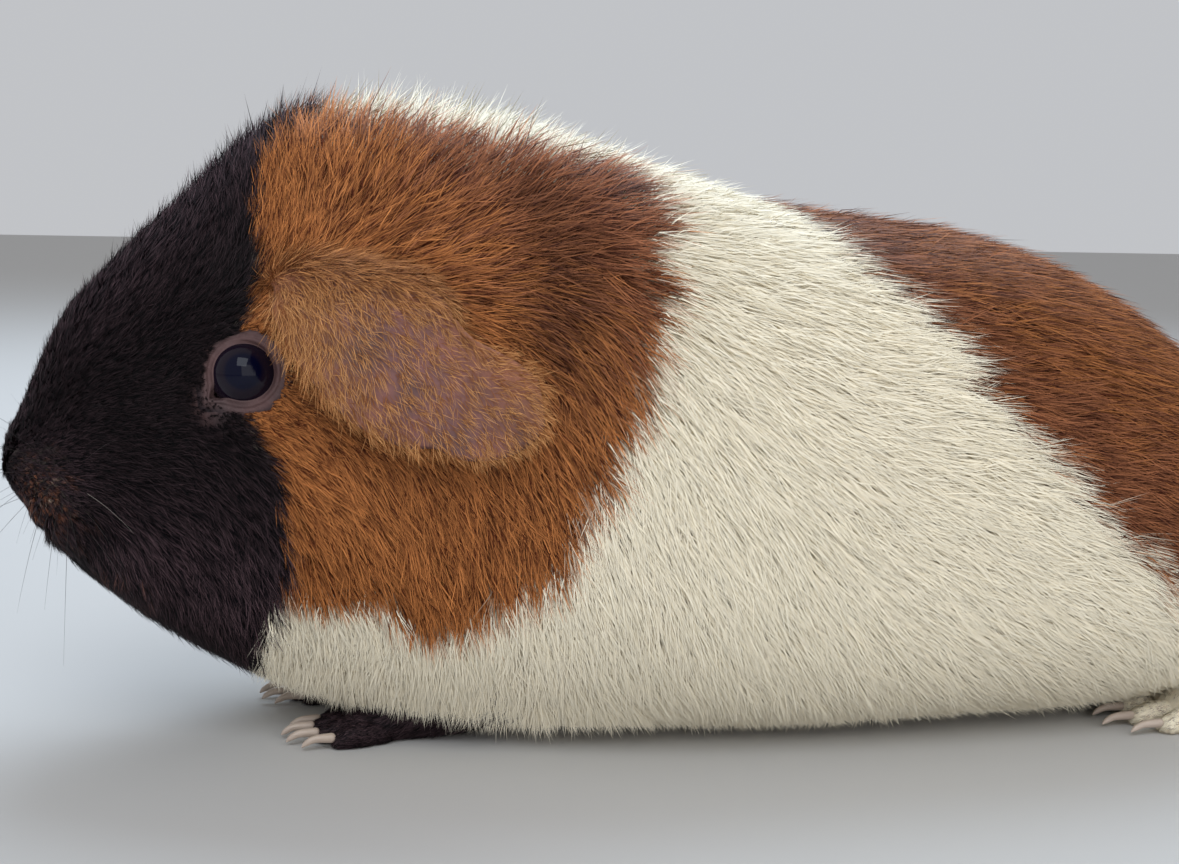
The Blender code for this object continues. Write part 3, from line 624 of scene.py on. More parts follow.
# %% Patches
BODY_SHARE = 0.80                              # of the unwrap's height; the small patches lie above
SMALL_PATCHES = 11
WHOLE = ((0.0, 0.0), (1.0, 1.0))                # the whole of an unwrap
CREAM_SKIN, DARK_SKIN, PINK_SKIN = (0.0, 0.0, 0.0, 0.15), (1.0, 0.0, 0.0, 0.25), (0.0, 0.1, 0.0, 0.8)


def small_place(number, upper):
    """The rectangle of a small patch: side by side above the body's, the right side's on top."""
    low = BODY_SHARE + (0.105 if upper else 0.01)
    return (number / SMALL_PATCHES + 0.003, low), ((number + 1) / SMALL_PATCHES - 0.003, low + 0.085)


def other_side(grid):
    """A left grid's mirror image. Its columns run the other way, so it still faces outwards."""
    return grid[:, ::-1] * (-1.0, 1.0, 1.0)


class Patch:
    """A grid of skin: points and outward normals, pigment (black, orange, red, bare) and places
    on the unwrap. Rows and columns are as in the grid that it is made from."""

    def __init__(self, name, points, pigment, place, closed=True):
        self.name, self.points, self.closed = name, points, closed
        self.normals = grid_normals(points, closed)
        self.pigment = np.broadcast_to(pigment, points.shape[:2] + (4,))
        (u0, v0), (u1, v1) = place
        rows, columns = points.shape[:2]
        u, v = np.meshgrid(np.linspace(u0, u1, rows), np.linspace(v0, v1, columns), indexing="ij")
        self.unwrap = np.stack([u, v], axis=-1)

    def mirror(self, place):
        """The same patch on the right side."""
        return Patch(self.name, other_side(self.points), self.pigment[:, ::-1], place, self.closed)


body_pigment = np.concatenate([PIGMENT, 0.8 * bare_corner[..., None]], axis=-1)
body = Patch("body", skin, body_pigment, ((0.0, 0.0), (1.0, BODY_SHARE)))
body.normals = skin_out
along_body = np.cumsum(np.linalg.norm(np.diff(skin.mean(axis=1), axis=0, prepend=0.0), axis=1))
body.unwrap[..., 0] = np.interp(along_body, along_body[[0, -1]], (0.0, 1.0))[:, None]

lid_bare = smooth_step((2.8 - from_margin) / 1.4)
lid_pigment = np.stack([1.0 + 0.0 * lid_bare, 0.1 + 0.0 * lid_bare, 0.0 * lid_bare, lid_bare], axis=-1)
ear_bare = 0.35 + 0.65 * bell(EAR_U - 0.55, 0.38) * smooth_step(EAR_V * 5.0)
ear_pigment = np.stack([0.0 * EAR_U, 1.0 + 0.0 * EAR_V, 0.0 * EAR_V, ear_bare], axis=-1)
paler_down = np.linspace(CREAM_SKIN, PINK_SKIN, len(limbs[1]))[:, None]
lefts = [
    Patch("lids", lids, lid_pigment, small_place(0, False), closed=False),
    Patch("ear", ear, ear_pigment, small_place(1, False), closed=False),
    Patch("foreleg", limbs[0], DARK_SKIN, small_place(2, False)),
    Patch("hindfoot", limbs[1], paler_down, small_place(3, False)),
]
for number, grid in enumerate(toes):
    tone = DARK_SKIN if number < len(FORE_TOES) else PINK_SKIN
    lefts.append(Patch("toe", grid, tone, small_place(4 + number, False)))
rights = [patch.mirror(small_place(number, True)) for number, patch in enumerate(lefts)]
patches = [body, *lefts, *rights]
for patch in lefts[:3] + rights[:3]:
    middle = patch.points.mean(axis=(0, 1))
    outwards = ((patch.points - middle) * patch.normals).sum(-1).mean()
    print(patch.name, "faces out by", round(float(outwards), 2))

# %% [markdown]
# ## One skin
#
# The patches are joined into one mesh, so no seam shows between head, trunk and limbs. Points
# that fall on each other, along the back's closing line and at the poles, are merged. The skin
# carries the coat's own colours, so that what shows between the tufts matches them.

# %% The skin's mesh
ORIGIN = np.array((0.0, MIDDLE_Y, 0.0))
home = bpy.data.collections.new("guinea_pig")
bpy.context.scene.collection.children.link(home)


def mesh_of(name, points, corners, faces_of, unwrap=None):
    """A mesh from points in mm, the corners' point numbers and the number of corners to a face."""
    mesh = bpy.data.meshes.new(name)
    mesh.vertices.add(len(points))
    mesh.vertices.foreach_set("co", ((points - ORIGIN) * MM).astype(np.float32).ravel())
    mesh.loops.add(len(corners))
    mesh.loops.foreach_set("vertex_index", corners.astype(np.int32))
    mesh.polygons.add(len(corners) // faces_of)
    mesh.polygons.foreach_set("loop_start", np.arange(0, len(corners), faces_of, dtype=np.int32))
    if unwrap is not None:
        layer = mesh.uv_layers.new(name="OFBake")
        layer.data.foreach_set("uv", unwrap.astype(np.float32).ravel())
    mesh.update(calc_edges=True)
    return mesh


def paint(mesh, name, values):
    """Keeps four numbers a point under a name that a material can read."""
    layer = mesh.attributes.new(name, "FLOAT_COLOR", "POINT")
    layer.data.foreach_set("color", values.astype(np.float32).ravel())


def placed(name, mesh, surface):
    """An object of the model: at the origin, with its finish, riding on the animal's one body."""
    mesh.materials.append(surface)
    made = bpy.data.objects.new(name, mesh)
    home.objects.link(made)
    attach(made, "root")
    return made


def quads(rows, columns, first=0):
    """Point numbers of a grid's faces: right along the row, then down, then back."""
    at = first + np.arange(rows * columns).reshape(rows, columns)
    return np.stack([at[:-1, :-1], at[:-1, 1:], at[1:, 1:], at[1:, :-1]], axis=-1).reshape(-1, 4)


def joined(name, grids):
    """One mesh from several patches, merged where their points fall together."""
    firsts = np.cumsum([0] + [patch.points[..., 0].size for patch in grids])
    faces = [quads(*patch.points.shape[:2], first) for patch, first in zip(grids, firsts)]
    corners = np.concatenate(faces).ravel()
    points, pigment, unwrap = (
        np.concatenate([getattr(patch, part).reshape(-1, size) for patch in grids])
        for part, size in (("points", 3), ("pigment", 4), ("unwrap", 2))
    )
    mesh = mesh_of(name, points, corners, 4, unwrap[corners])
    paint(mesh, "pigment", pigment)
    form = bmesh.new()
    form.from_mesh(mesh)
    bmesh.ops.remove_doubles(form, verts=form.verts, dist=1e-7)
    form.to_mesh(mesh)
    form.free()
    return mesh


skin_mesh = joined("skin", patches)
triangles = sum(len(face.vertices) - 2 for face in skin_mesh.polygons)
print("the skin has", triangles, "triangles")

# %% [markdown]
# ## Finishes
#
# A finish is a small tree of nodes. Its numbers are written as sums and products, and the class
# below turns each sign into a Math node. Hair takes its colour from three pigments, darker at
# the root and lighter at the tip, the dark roots partly painted shade deep in the coat, and no
# two strands are quite alike. The cream is painted paler at the root, as painted light deep in
# the coat.

# %% Materials from expressions
class Number:
    """A number in a material. The signs +, -, * and / add Math nodes to its tree."""

    def __init__(self, finish, socket):
        self.finish, self.socket = finish, socket

    def __add__(self, other):
        return self.finish.maths("ADD", self, other)

    def __sub__(self, other):
        return self.finish.maths("SUBTRACT", self, other)

    def __rsub__(self, other):
        return self.finish.maths("SUBTRACT", other, self)

    def __mul__(self, other):
        return self.finish.maths("MULTIPLY", self, other)

    def __truediv__(self, other):
        return self.finish.maths("DIVIDE", self, other)

    def __rtruediv__(self, other):
        return self.finish.maths("DIVIDE", other, self)

    __radd__ = __add__
    __rmul__ = __mul__


class Finish:
    """A material with one Principled shader, built up from nodes."""

    def __init__(self, name, **constants):
        self.material = bpy.data.materials.new(name)
        self.material.use_nodes = True
        self.tree = self.material.node_tree
        self.shader = self.tree.nodes["Principled BSDF"]
        for socket, value in constants.items():
            self.shader.inputs[socket.replace("_", " ")].default_value = value

    def node(self, kind, settings=None, inputs=None):
        """A node of a kind, its settings made first, then the values or links of its sockets."""
        made = self.tree.nodes.new(kind)
        for setting, value in (settings or {}).items():
            setattr(made, setting, value)
        for socket, value in (inputs or {}).items():
            self.join(value, made.inputs[socket])
        return made

    def join(self, value, socket):
        """Links a number, a socket or a plain value to a socket."""
        value = value.socket if isinstance(value, Number) else value
        if isinstance(value, bpy.types.NodeSocket):
            self.tree.links.new(value, socket)
        elif isinstance(value, tuple) and len(value) == 3 and socket.type == "RGBA":
            socket.default_value = (*value, 1.0)
        else:
            socket.default_value = value

    def maths(self, operation, first, second=0.0):
        """One Math node of two numbers."""
        made = self.node("ShaderNodeMath", {"operation": operation}, {0: first, 1: second})
        return Number(self, made.outputs[0])

    def clamped(self, number):
        """The number kept between 0 and 1."""
        return Number(self, self.node("ShaderNodeClamp", {}, {"Value": number}).outputs[0])

    def mix(self, share, first, second, how="MIX"):
        """Two colours mixed; share 0 is the first and 1 the second."""
        made = self.node(
            "ShaderNodeMix",
            {"data_type": "RGBA", "blend_type": how},
            {"Factor": share, 6: first, 7: second},
        )
        return made.outputs[2]

    def kept(self, name):
        """The four numbers kept on a mesh under a name."""
        made = self.node("ShaderNodeAttribute", {"attribute_name": name})
        apart = self.node("ShaderNodeSeparateColor", {}, {"Color": made.outputs["Color"]})
        numbers = [Number(self, socket) for socket in apart.outputs]
        return [*numbers, Number(self, made.outputs["Alpha"])]

    def noise(self, scale, detail=2.0, stretch=(1.0, 1.0, 1.0)):
        """Noise over the object's own coordinates, with this many waves to the metre."""
        place = self.node("ShaderNodeTexCoord").outputs["Object"]
        place = self.node("ShaderNodeMapping", {}, {"Vector": place, "Scale": stretch}).outputs[0]
        inputs = {"Vector": place, "Scale": scale, "Detail": detail}
        return Number(self, self.node("ShaderNodeTexNoise", {}, inputs).outputs[0])

    def bump(self, height, depth):
        """Raises the surface by the height times a depth in metres."""
        made = self.node("ShaderNodeBump", {}, {"Height": height, "Distance": depth})
        self.join(made.outputs[0], self.shader.inputs["Normal"])

    def shows(self, **links):
        """Links what varies over the surface to the shader's own sockets."""
        for socket, value in links.items():
            self.join(value, self.shader.inputs[socket.replace("_", " ")])
        return self.material


# %% Colours of the coat
# The cream root is paler than its tip: painted light deep in the coat. The dark roots of orange, gold, red
# and black are partly painted shade there, and the black's pale bluish tips are partly a painted sheen.
CREAM_ROOT, CREAM_TIP = (0.97, 0.885, 0.70), (0.90, 0.84, 0.69)
ORANGE_HAIR_ROOT, ORANGE_HAIR_TIP = (0.085, 0.018, 0.006), (0.74, 0.280, 0.085)
GOLD_ROOT, GOLD_TIP = (0.24, 0.082, 0.027), (0.80, 0.420, 0.165)
RED_ROOT, RED_TIP = (0.070, 0.018, 0.009), (0.53, 0.200, 0.090)
BLACK_ROOT, BLACK_TIP = (0.001, 0.001, 0.002), (0.110, 0.067, 0.076)
FLESH, FLESH_DARK = (0.30, 0.118, 0.102), (0.066, 0.043, 0.044)


def coat_colour(finish, along, black, orange, red, gold=0.0):
    """Cream, covered by orange that turns red-brown or golden, covered by black, each from root
    to tip. The dark roots are partly painted shade deep in the coat, and the cream's paler root is
    painted light there."""
    cream = finish.mix(along, CREAM_ROOT, CREAM_TIP)
    bright = finish.mix(along, ORANGE_HAIR_ROOT, ORANGE_HAIR_TIP)
    bright = finish.mix(gold, bright, finish.mix(along, GOLD_ROOT, GOLD_TIP))
    deep = finish.mix(along, RED_ROOT, RED_TIP)
    dark = finish.mix(along * along, BLACK_ROOT, BLACK_TIP)
    return finish.mix(black, finish.mix(orange, cream, finish.mix(red, bright, deep)), dark)


def hair_finish():
    """Strands: their colour grows lighter towards the tip, the dark roots partly painted shade, and
    differs from strand to strand; the cream is painted paler at the root, as painted light.
    """
    finish = Finish("hair", Roughness=0.55, Specular_IOR_Level=0.09)
    black, orange, red, gold = finish.kept("pigment")
    along, strand, tuft, shade = finish.kept("strand")
    lighter = finish.clamped(along * 0.90 + strand * 0.85 - 0.56)
    colour = coat_colour(finish, lighter, black, orange, red, gold)
    value = 1.0 + (tuft - 0.5) * (0.05 + 0.30 * orange)
    grey = finish.node("ShaderNodeCombineColor", {}, {0: value * shade, 1: value * shade, 2: value * shade})
    return finish.shows(Base_Color=finish.mix(1.0, colour, grey.outputs[0], "MULTIPLY"))


def skin_finish():
    """Skin under the coat: as dark as the depth of the fur, flesh where it is bare, with fine
    pores and creases raised on it."""
    finish = Finish("skin", Roughness=0.62, Specular_IOR_Level=0.3)
    black, orange, red, bare = finish.kept("pigment")
    fine = finish.noise(900.0, 3.0)
    broad = finish.noise(140.0, 2.0)
    hairy = coat_colour(finish, finish.clamped(fine * 0.8 + 0.1), black, orange, red)
    flesh = finish.mix(finish.clamped(broad * 1.6 - 0.4), FLESH_DARK, FLESH)
    flesh = finish.mix(black * 0.75, flesh, FLESH_DARK)
    finish.bump(fine * 0.6 + broad * 0.4, 0.0004)
    return finish.shows(Base_Color=finish.mix(bare, hairy, flesh))


HAIR, SKIN = hair_finish(), skin_finish()
FLESH_NODES = ["nose", "head", "neck", "trunk", "rump"] + [
    f"{part}_{side}"
    for part in ("ear", "foreleg", "forefoot", "hindleg", "hindfoot")
    for side, _ in SIDES
]
skin_piece = placed("skin", skin_mesh, SKIN)
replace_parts(skin_piece, *FLESH_NODES)
print("the skin stands for", len(FLESH_NODES), "solids")

# %% [markdown]
# ## Eyes, claws and whiskers
#
# The eyeball is a dark glossy ball with a clear dome over its middle. Claws are horn, swept along
# a bent path. Whiskers are long tapering hairs that spring from the pads beside the nose. These
# stay pieces of their own.

# %% Eyeballs
EYE_RINGS, EYE_TURNS, EYE_PLAY = 48, 72, 0.05
DOME_HEIGHT, DOME_REACH = 0.32, math.radians(38.0)
PUPIL_DEGREES, IRIS_DEGREES = 22.0, 10.0       # off the axis: where the pupil ends, how soft


def eyeball():
    """middle + (radius + dome · exp(-(φ / reach)²)) · direction, φ being the angle off the axis."""
    off_axis = np.linspace(0.0, math.pi, EYE_RINGS + 1)[:, None]
    turn = np.linspace(0.0, 2.0 * math.pi, EYE_TURNS + 1)[None]
    radius = EYE_RADIUS - EYE_PLAY + DOME_HEIGHT * bell(off_axis, DOME_REACH) + 0.0 * turn
    round_it = np.cos(turn)[..., None] * EYE_BACK + np.sin(turn)[..., None] * EYE_UP
    way = np.cos(off_axis)[..., None] * EYE_AXIS + np.sin(off_axis)[..., None] * round_it
    place = EYE_MIDDLE + radius[..., None] * way
    return place[:, ::-1]


def eye_finish():
    """Near black, a shade browner and lighter towards the rim of the iris, under a wet gloss."""
    finish = Finish("wet_eye", Roughness=0.04, Specular_IOR_Level=0.17)
    iris, _, _, _ = finish.kept("iris")
    return finish.shows(Base_Color=finish.mix(iris, (0.0015, 0.002, 0.012), (0.010, 0.006, 0.012)))


def plain(points):
    """A grid as a patch whose pigment is never read."""
    return Patch("plain", points, (0.0, 0.0, 0.0, 0.0), WHOLE)


EYE = eye_finish()
ball_grid = eyeball()
for side_name, side in SIDES:
    ball = plain(ball_grid if side > 0 else other_side(ball_grid))
    mesh = joined(f"eye_{side_name}_ball", [ball])
    flip = np.array((side, 1.0, 1.0))
    spot = np.zeros(len(mesh.vertices) * 3, np.float32)
    mesh.vertices.foreach_get("co", spot)
    ahead = (spot.reshape(-1, 3) / MM + ORIGIN - EYE_MIDDLE * flip) @ (EYE_AXIS * flip)
    off_axis = np.degrees(np.arccos(np.clip(ahead / EYE_RADIUS, -1.0, 1.0)))
    iris = smooth_step((off_axis - PUPIL_DEGREES) / IRIS_DEGREES)
    paint(mesh, "iris", np.repeat(iris[:, None], 4, axis=1))
    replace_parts(placed(f"eyeball_{side_name}", mesh, EYE), f"eye_{side_name}")
print("an eyeball is", round(2.0 * EYE_RADIUS, 1), "mm across")

# %% Claws


def claw_finish():
    """Horn: fine lines along the claw, paler where the light comes through."""
    finish = Finish("claw_horn", Roughness=0.38)
    lines = finish.noise(700.0, 3.0, stretch=(1.0, 0.15, 1.0))
    finish.bump(lines, 0.0002)
    return finish.shows(Base_Color=finish.mix(lines, (0.30, 0.22, 0.17), (0.62, 0.52, 0.44)))


HORN = claw_finish()
for (foot_name, number), grid in claws.items():
    for side_name, side in SIDES:
        claw = plain(grid if side > 0 else other_side(grid))
        node = f"{foot_name}_{side_name}_claw_{number}"
        horn = joined(node + "_horn", [claw])
        name = f"claw_{foot_name}_{side_name}_{number}"
        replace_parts(placed(name, horn, HORN), node)
print(2 * len(claws), "claws")

# %% Whiskers
WHISKER_ROWS, WHISKERS_A_ROW = 4, 5
WHISKER_ROOT, WHISKER_TIP, WHISKER_SIDES, WHISKER_STEPS = 0.045, 0.008, 4, 10
WHISKER_LENGTH, WHISKER_DROOP = (14.0, 26.0), (1.0, 5.0)
PALE_WHISKERS = 0.15                           # their share


def whisker(root, way, length, droop):
    """A hair that bends down: root + way · s · length - droop · s² · up, and it tapers to a tip."""
    s = np.linspace(0.0, 1.0, WHISKER_STEPS)[:, None]
    spine = root + way * s * length - np.array((0.0, 0.0, 1.0)) * droop * s**2
    radius = WHISKER_ROOT + (WHISKER_TIP - WHISKER_ROOT) * s
    turn = np.linspace(0.0, -2.0 * math.pi, WHISKER_SIDES + 1)[None, :, None]
    ahead = unit(np.gradient(spine, axis=0))
    across = unit(np.cross(ahead, (0.0, 0.3, 1.0)))
    up = np.cross(across, ahead)
    ring = spine[:, None] + radius[:, None] * (np.cos(turn) * across[:, None] + np.sin(turn) * up[:, None])
    ends = [np.repeat(end[:, None], WHISKER_SIDES + 1, axis=1) for end in (spine[:1], spine[-1:])]
    return np.concatenate([ends[0], ring, ends[1]])


def skin_at(t, down):
    """The point of the left skin, and its normal, nearest to a station and an angle."""
    row = np.abs(station - t).argmin()
    column = np.abs(np.degrees(angle) - down).argmin()
    return skin[row, column], skin_out[row, column]


whiskers = []
for row in range(WHISKER_ROWS):
    for place in range(WHISKERS_A_ROW):
        root, out = skin_at(2.5 + 0.38 * place, 84.0 + 10.5 * row + 1.5 * place)
        fan = np.array((0.65, -0.50 + 0.25 * place, 0.42 - 0.30 * row))
        way = unit(out * 0.55 + fan + CHANCE.normal(0.0, 0.12, 3))
        length, droop = CHANCE.uniform(*WHISKER_LENGTH), CHANCE.uniform(*WHISKER_DROOP)
        grid = whisker(root - 0.4 * out, way, length, droop)
        tone = (1.0 if CHANCE.random() < 1.0 - PALE_WHISKERS else 0.6, 0.0, 0.0, 0.0)
        whiskers.append(Patch("whisker", grid, tone, WHOLE))
        grid = whisker(root - 0.4 * out, unit(way + CHANCE.normal(0.0, 0.1, 3)), length * 0.9, droop)
        whiskers.append(Patch("whisker", other_side(grid), tone, WHOLE))


def whisker_finish():
    """Stiff smooth hair, dark or pale."""
    finish = Finish("whisker", Roughness=0.35)
    black, _, _, _ = finish.kept("pigment")
    return finish.shows(Base_Color=finish.mix(black, (0.75, 0.68, 0.58), (0.03, 0.022, 0.02)))


placed("whiskers", joined("whiskers", whiskers), whisker_finish())
print(len(whiskers), "whiskers")

# %% [markdown]
# ## The coat
#
# Hair on a short-haired animal grows in small tufts whose strands lean together. A tuft here is
# eight flat strands, each a thin kite of two triangles that is widest where it bends over. Some
# strands are underfur: they stay low and fill the gaps. Roots are dealt over the skin by area,
# closer together where hair is short, and every strand takes its lie, length and pigment from
# the skin at its root. Slow waves turn neighbouring tufts towards each other, so they gather in
# locks as real fur does.

# %% What each patch grows
TUFTS, STRANDS, COAT_PIECES = 93600, 8, 8
BARE_RADIUS, FULL_RADIUS = 4.7, 5.6            # round the eye's axis, where fur begins and is full


def coat_fields(patch, heading, length, lift, spread, density, shade=1.0, gold=0.0, fine=1.0):
    """Everything a tuft needs to know, as one grid: place, normal, heading, pigment, unwrap, and
    length, lift of the tip, spread of the roots, shade, width, gold and density. The width grows
    a little with the length, and long wide strands need fewer roots to cover the same skin."""
    width = fine * (0.080 + 0.0085 * np.asarray(length))
    cover = density / (np.asarray(length) * width)
    single = [
        np.broadcast_to(value, patch.points.shape[:2])[..., None]
        for value in (length, lift, spread, shade, width, gold, cover)
    ]
    columns = [patch.points, patch.normals, unit(heading), patch.pigment[..., :3], patch.unwrap]
    return np.concatenate(columns + single, axis=-1)


# %% The coat of the body
CREST_STATION, CREST_REACH, CREST_RISE, CREST_LENGTH = 9.3, 2.4, 2.8, 3.0
BROW_STATION, BROW_REACH, BROW_RISE, BROW_LENGTH = 5.6, 1.9, 0.9, 1.4
BELLY_ANGLE, BELLY_BARE = 140.0, 0.7           # from where, and how much, the belly's fur is thinned
# How dark the painted shade in the parting behind the ear is, how much the mask is lightened, partly as
# painted highlights, and darkened, and how much darker the saddle is.
GAP_DARK, MASK_FAIR_AND_HIGHLIGHT, MASK_DARK, SADDLE_DARK = 0.38, 1.3, 0.66, 0.20

backwards = unit(np.gradient(skin, axis=0))
downwards = SIDE[..., None] * np.cross(backwards, skin_out)
# Hair falls into locks on the head and neck, and lies evenly on the body and the nose.
locks = 0.35 + 0.65 * smooth_step((12.2 - T) / 1.5)
sway = locks * (8.0 * waves(coat, 6.5, 12) + 5.0 * waves(coat, 3.2, 13))
sway = np.radians(7.0 * waves(coat, 26.0, 11) + sway)
lie = HEADING + sway * smooth_step((T - 2.0) / 5.0) + 0.25 * sway
heading = np.cos(lie)[..., None] * backwards + np.sin(lie)[..., None] * downwards
crest = bell(T - CREST_STATION, CREST_REACH) * smooth_step((44.0 - DOWN) / 26.0)
brow = bell(T - BROW_STATION, BROW_REACH) * smooth_step((46.0 - DOWN) / 26.0)
standing = DEPTH * (1.0 + (0.04 + 0.18 * crest) * waves(coat, 5.0, 14))
standing = standing + CREST_RISE * crest + BROW_RISE * brow
LENGTH = LENGTH + CREST_LENGTH * crest + BROW_LENGTH * brow
furred = smooth_step((beside_eye - BARE_RADIUS) / (FULL_RADIUS - BARE_RADIUS))
furred = furred * (1.0 - 0.85 * bare_corner)
belly = smooth_step((DOWN - BELLY_ANGLE) / 20.0) * smooth_step((T - 8.5) / 1.0)
underneath = 1.0 - BELLY_BARE * belly
root_spread = np.clip(0.13 * LENGTH - 0.25, 0.16, 1.4)
# Painted shade darkens the hair in the parting behind the ear. The mask is lighter on the jaw and
# the bridge, partly fairer hair and partly painted highlights, fairer at the lips, and darker on
# the cheek. The saddle's hair is darker.
painted_shade_light_and_tone = 1.0 - GAP_DARK * bell(T - 10.5, 0.50) * parting
fair_and_highlight = bell(DOWN - 125.0, 22.0) * smooth_step((T - 3.5) / 1.5)
fair_and_highlight = fair_and_highlight + 0.9 * smooth_step((66.0 - DOWN) / 60.0)
fair_and_highlight = np.maximum(fair_and_highlight, 0.9 * near(TAN_LIPS, 9.0))
painted_shade_light_and_tone = painted_shade_light_and_tone * (1.0 + PIGMENT[..., 0] * (MASK_FAIR_AND_HIGHLIGHT * fair_and_highlight - MASK_DARK))
painted_shade_light_and_tone = painted_shade_light_and_tone * (1.0 - SADDLE_DARK * PIGMENT[..., 1] * smooth_step((T - 12.6) / 0.8))
golden = 0.6 * near(TAN_LIPS, 6.0)
print("the body's hair is", LENGTH.min().round(1), "to", LENGTH.max().round(1), "mm long")
dense = furred * underneath
fields = [coat_fields(body, heading, LENGTH, standing, root_spread, dense, painted_shade_light_and_tone, golden)]

# %% The coat of the ears and limbs
# Thick golden tufts at the ear's root and front edge, thin down its face and thinner inside it.
for patch in (lefts[1], rights[1]):
    v = EAR_V if patch is lefts[1] else EAR_V[:, ::-1]
    u = EAR_U if patch is lefts[1] else EAR_U[:, ::-1]
    outer = np.where(np.arange(EAR_ROWS + 1) <= EAR_ROWS // 2, 1.0, -1.0)[:, None, None]
    down_ear = unit(np.gradient(patch.points, axis=0)) * outer
    front = np.clip(1.1 * bell(u, 0.30) + 0.5 * bell(v, 0.25), 0.0, 1.0)
    at_root = bell(v, 0.15)
    length = 3.6 + 1.4 * front + 1.8 * at_root
    dense = 0.09 + 0.34 * front**1.5 + 0.9 * at_root
    dense = dense + 0.10 * bell(v - 1.0, 0.12) + 0.10 * bell(u - 1.0, 0.15)
    inside = np.where(outer[..., 0] > 0.0, 1.0, 0.4)
    turned = (0.6 + 1.4 * at_root) * waves(patch.points, 6.0, 15) + 0.35 + 0.7 * at_root
    rearwards = unit(np.gradient(patch.points, axis=1)) * (-1.0 if patch is lefts[1] else 1.0)
    swirl = down_ear * (1.0 - 1.3 * at_root)[..., None] + turned[..., None] * rearwards
    golden = np.clip(0.9 - 0.6 * at_root, 0.0, 1.0)
    rising = (0.15 + 0.33 * at_root) * length
    dense = dense * inside * smooth_step((v - 0.02) / 0.05)
    fields.append(coat_fields(patch, swirl, length, rising, 0.9, dense, 1.0, golden, 0.72))
for patch in lefts[2:] + rights[2:]:
    is_toe = patch.name == "toe"
    above = np.linspace(1.0, 0.0, len(patch.points))[:, None] ** 2
    length, lift = (1.8, 0.35) if is_toe else (3.4 + 4.5 * above, 0.9 + 1.6 * above)
    down_limb = np.gradient(patch.points, axis=0)
    fields.append(coat_fields(patch, down_limb, length, lift, 0.35, 0.8 if is_toe else 1.8))
print(len(fields), "patches of skin grow hair")


# %% Roots
def cell_weights(field):
    """The area of each cell of a grid times the density there."""
    p = field[..., :3]
    area = np.linalg.norm(np.cross(p[1:, 1:] - p[:-1, :-1], p[1:, :-1] - p[:-1, 1:]), axis=-1) / 2.0
    dense = field[..., -1]
    return area * (dense[1:, 1:] + dense[:-1, :-1] + dense[1:, :-1] + dense[:-1, 1:]) / 4.0


def dealt(field, count):
    """Values of the fields at `count` roots, spread evenly over the weighed area: the cells'
    weights are added up one after another, and a root falls at every equal step of the sum."""
    total = np.cumsum(cell_weights(field).ravel())
    at = np.searchsorted(total, (np.arange(count) + CHANCE.random(count)) / count * total[-1])
    i, j = np.divmod(np.minimum(at, total.size - 1), field.shape[1] - 1)
    a, b = CHANCE.random((2, count, 1))
    near = field[i, j] * (1.0 - b) + field[i, j + 1] * b
    far = field[i + 1, j] * (1.0 - b) + field[i + 1, j + 1] * b
    return near * (1.0 - a) + far * a


weights = np.array([cell_weights(field).sum() for field in fields])
counts = np.floor(weights / weights.sum() * TUFTS).astype(int)
roots = np.concatenate([dealt(field, count) for field, count in zip(fields, counts)])
CHANCE.shuffle(roots)
print("weights of body, ears and limbs:", weights[:3].round(0), "->", len(roots), "tufts")

# %% Strands
ROOT_DEPTH, CLEAR_OF_FLOOR = 0.3, 0.15
BEND_REACH, BEND_LIFT, BEND_STANDING = 0.36, 0.90, 0.45    # where on its way a strand bends over
CLUMP, CLUMP_STANDING, CHOICE, BAKE_PATCH = -0.1, 0.80, 0.5, 0.003
STRAY = 8                                      # the higher, the fewer strands stand out of the coat
UNDER_SHARE, UNDER_LIFT = 0.35, (0.50, 0.95)    # how many strands are underfur, and how high they reach
STRAND_FACES = np.array(((0, 2, 1), (1, 2, 3)))
STRAND_ALONG = np.array((0.0, BEND_REACH, BEND_REACH, 1.0))
STRAND_SIDE = np.array((0.0, -1.0, 1.0, 0.0))


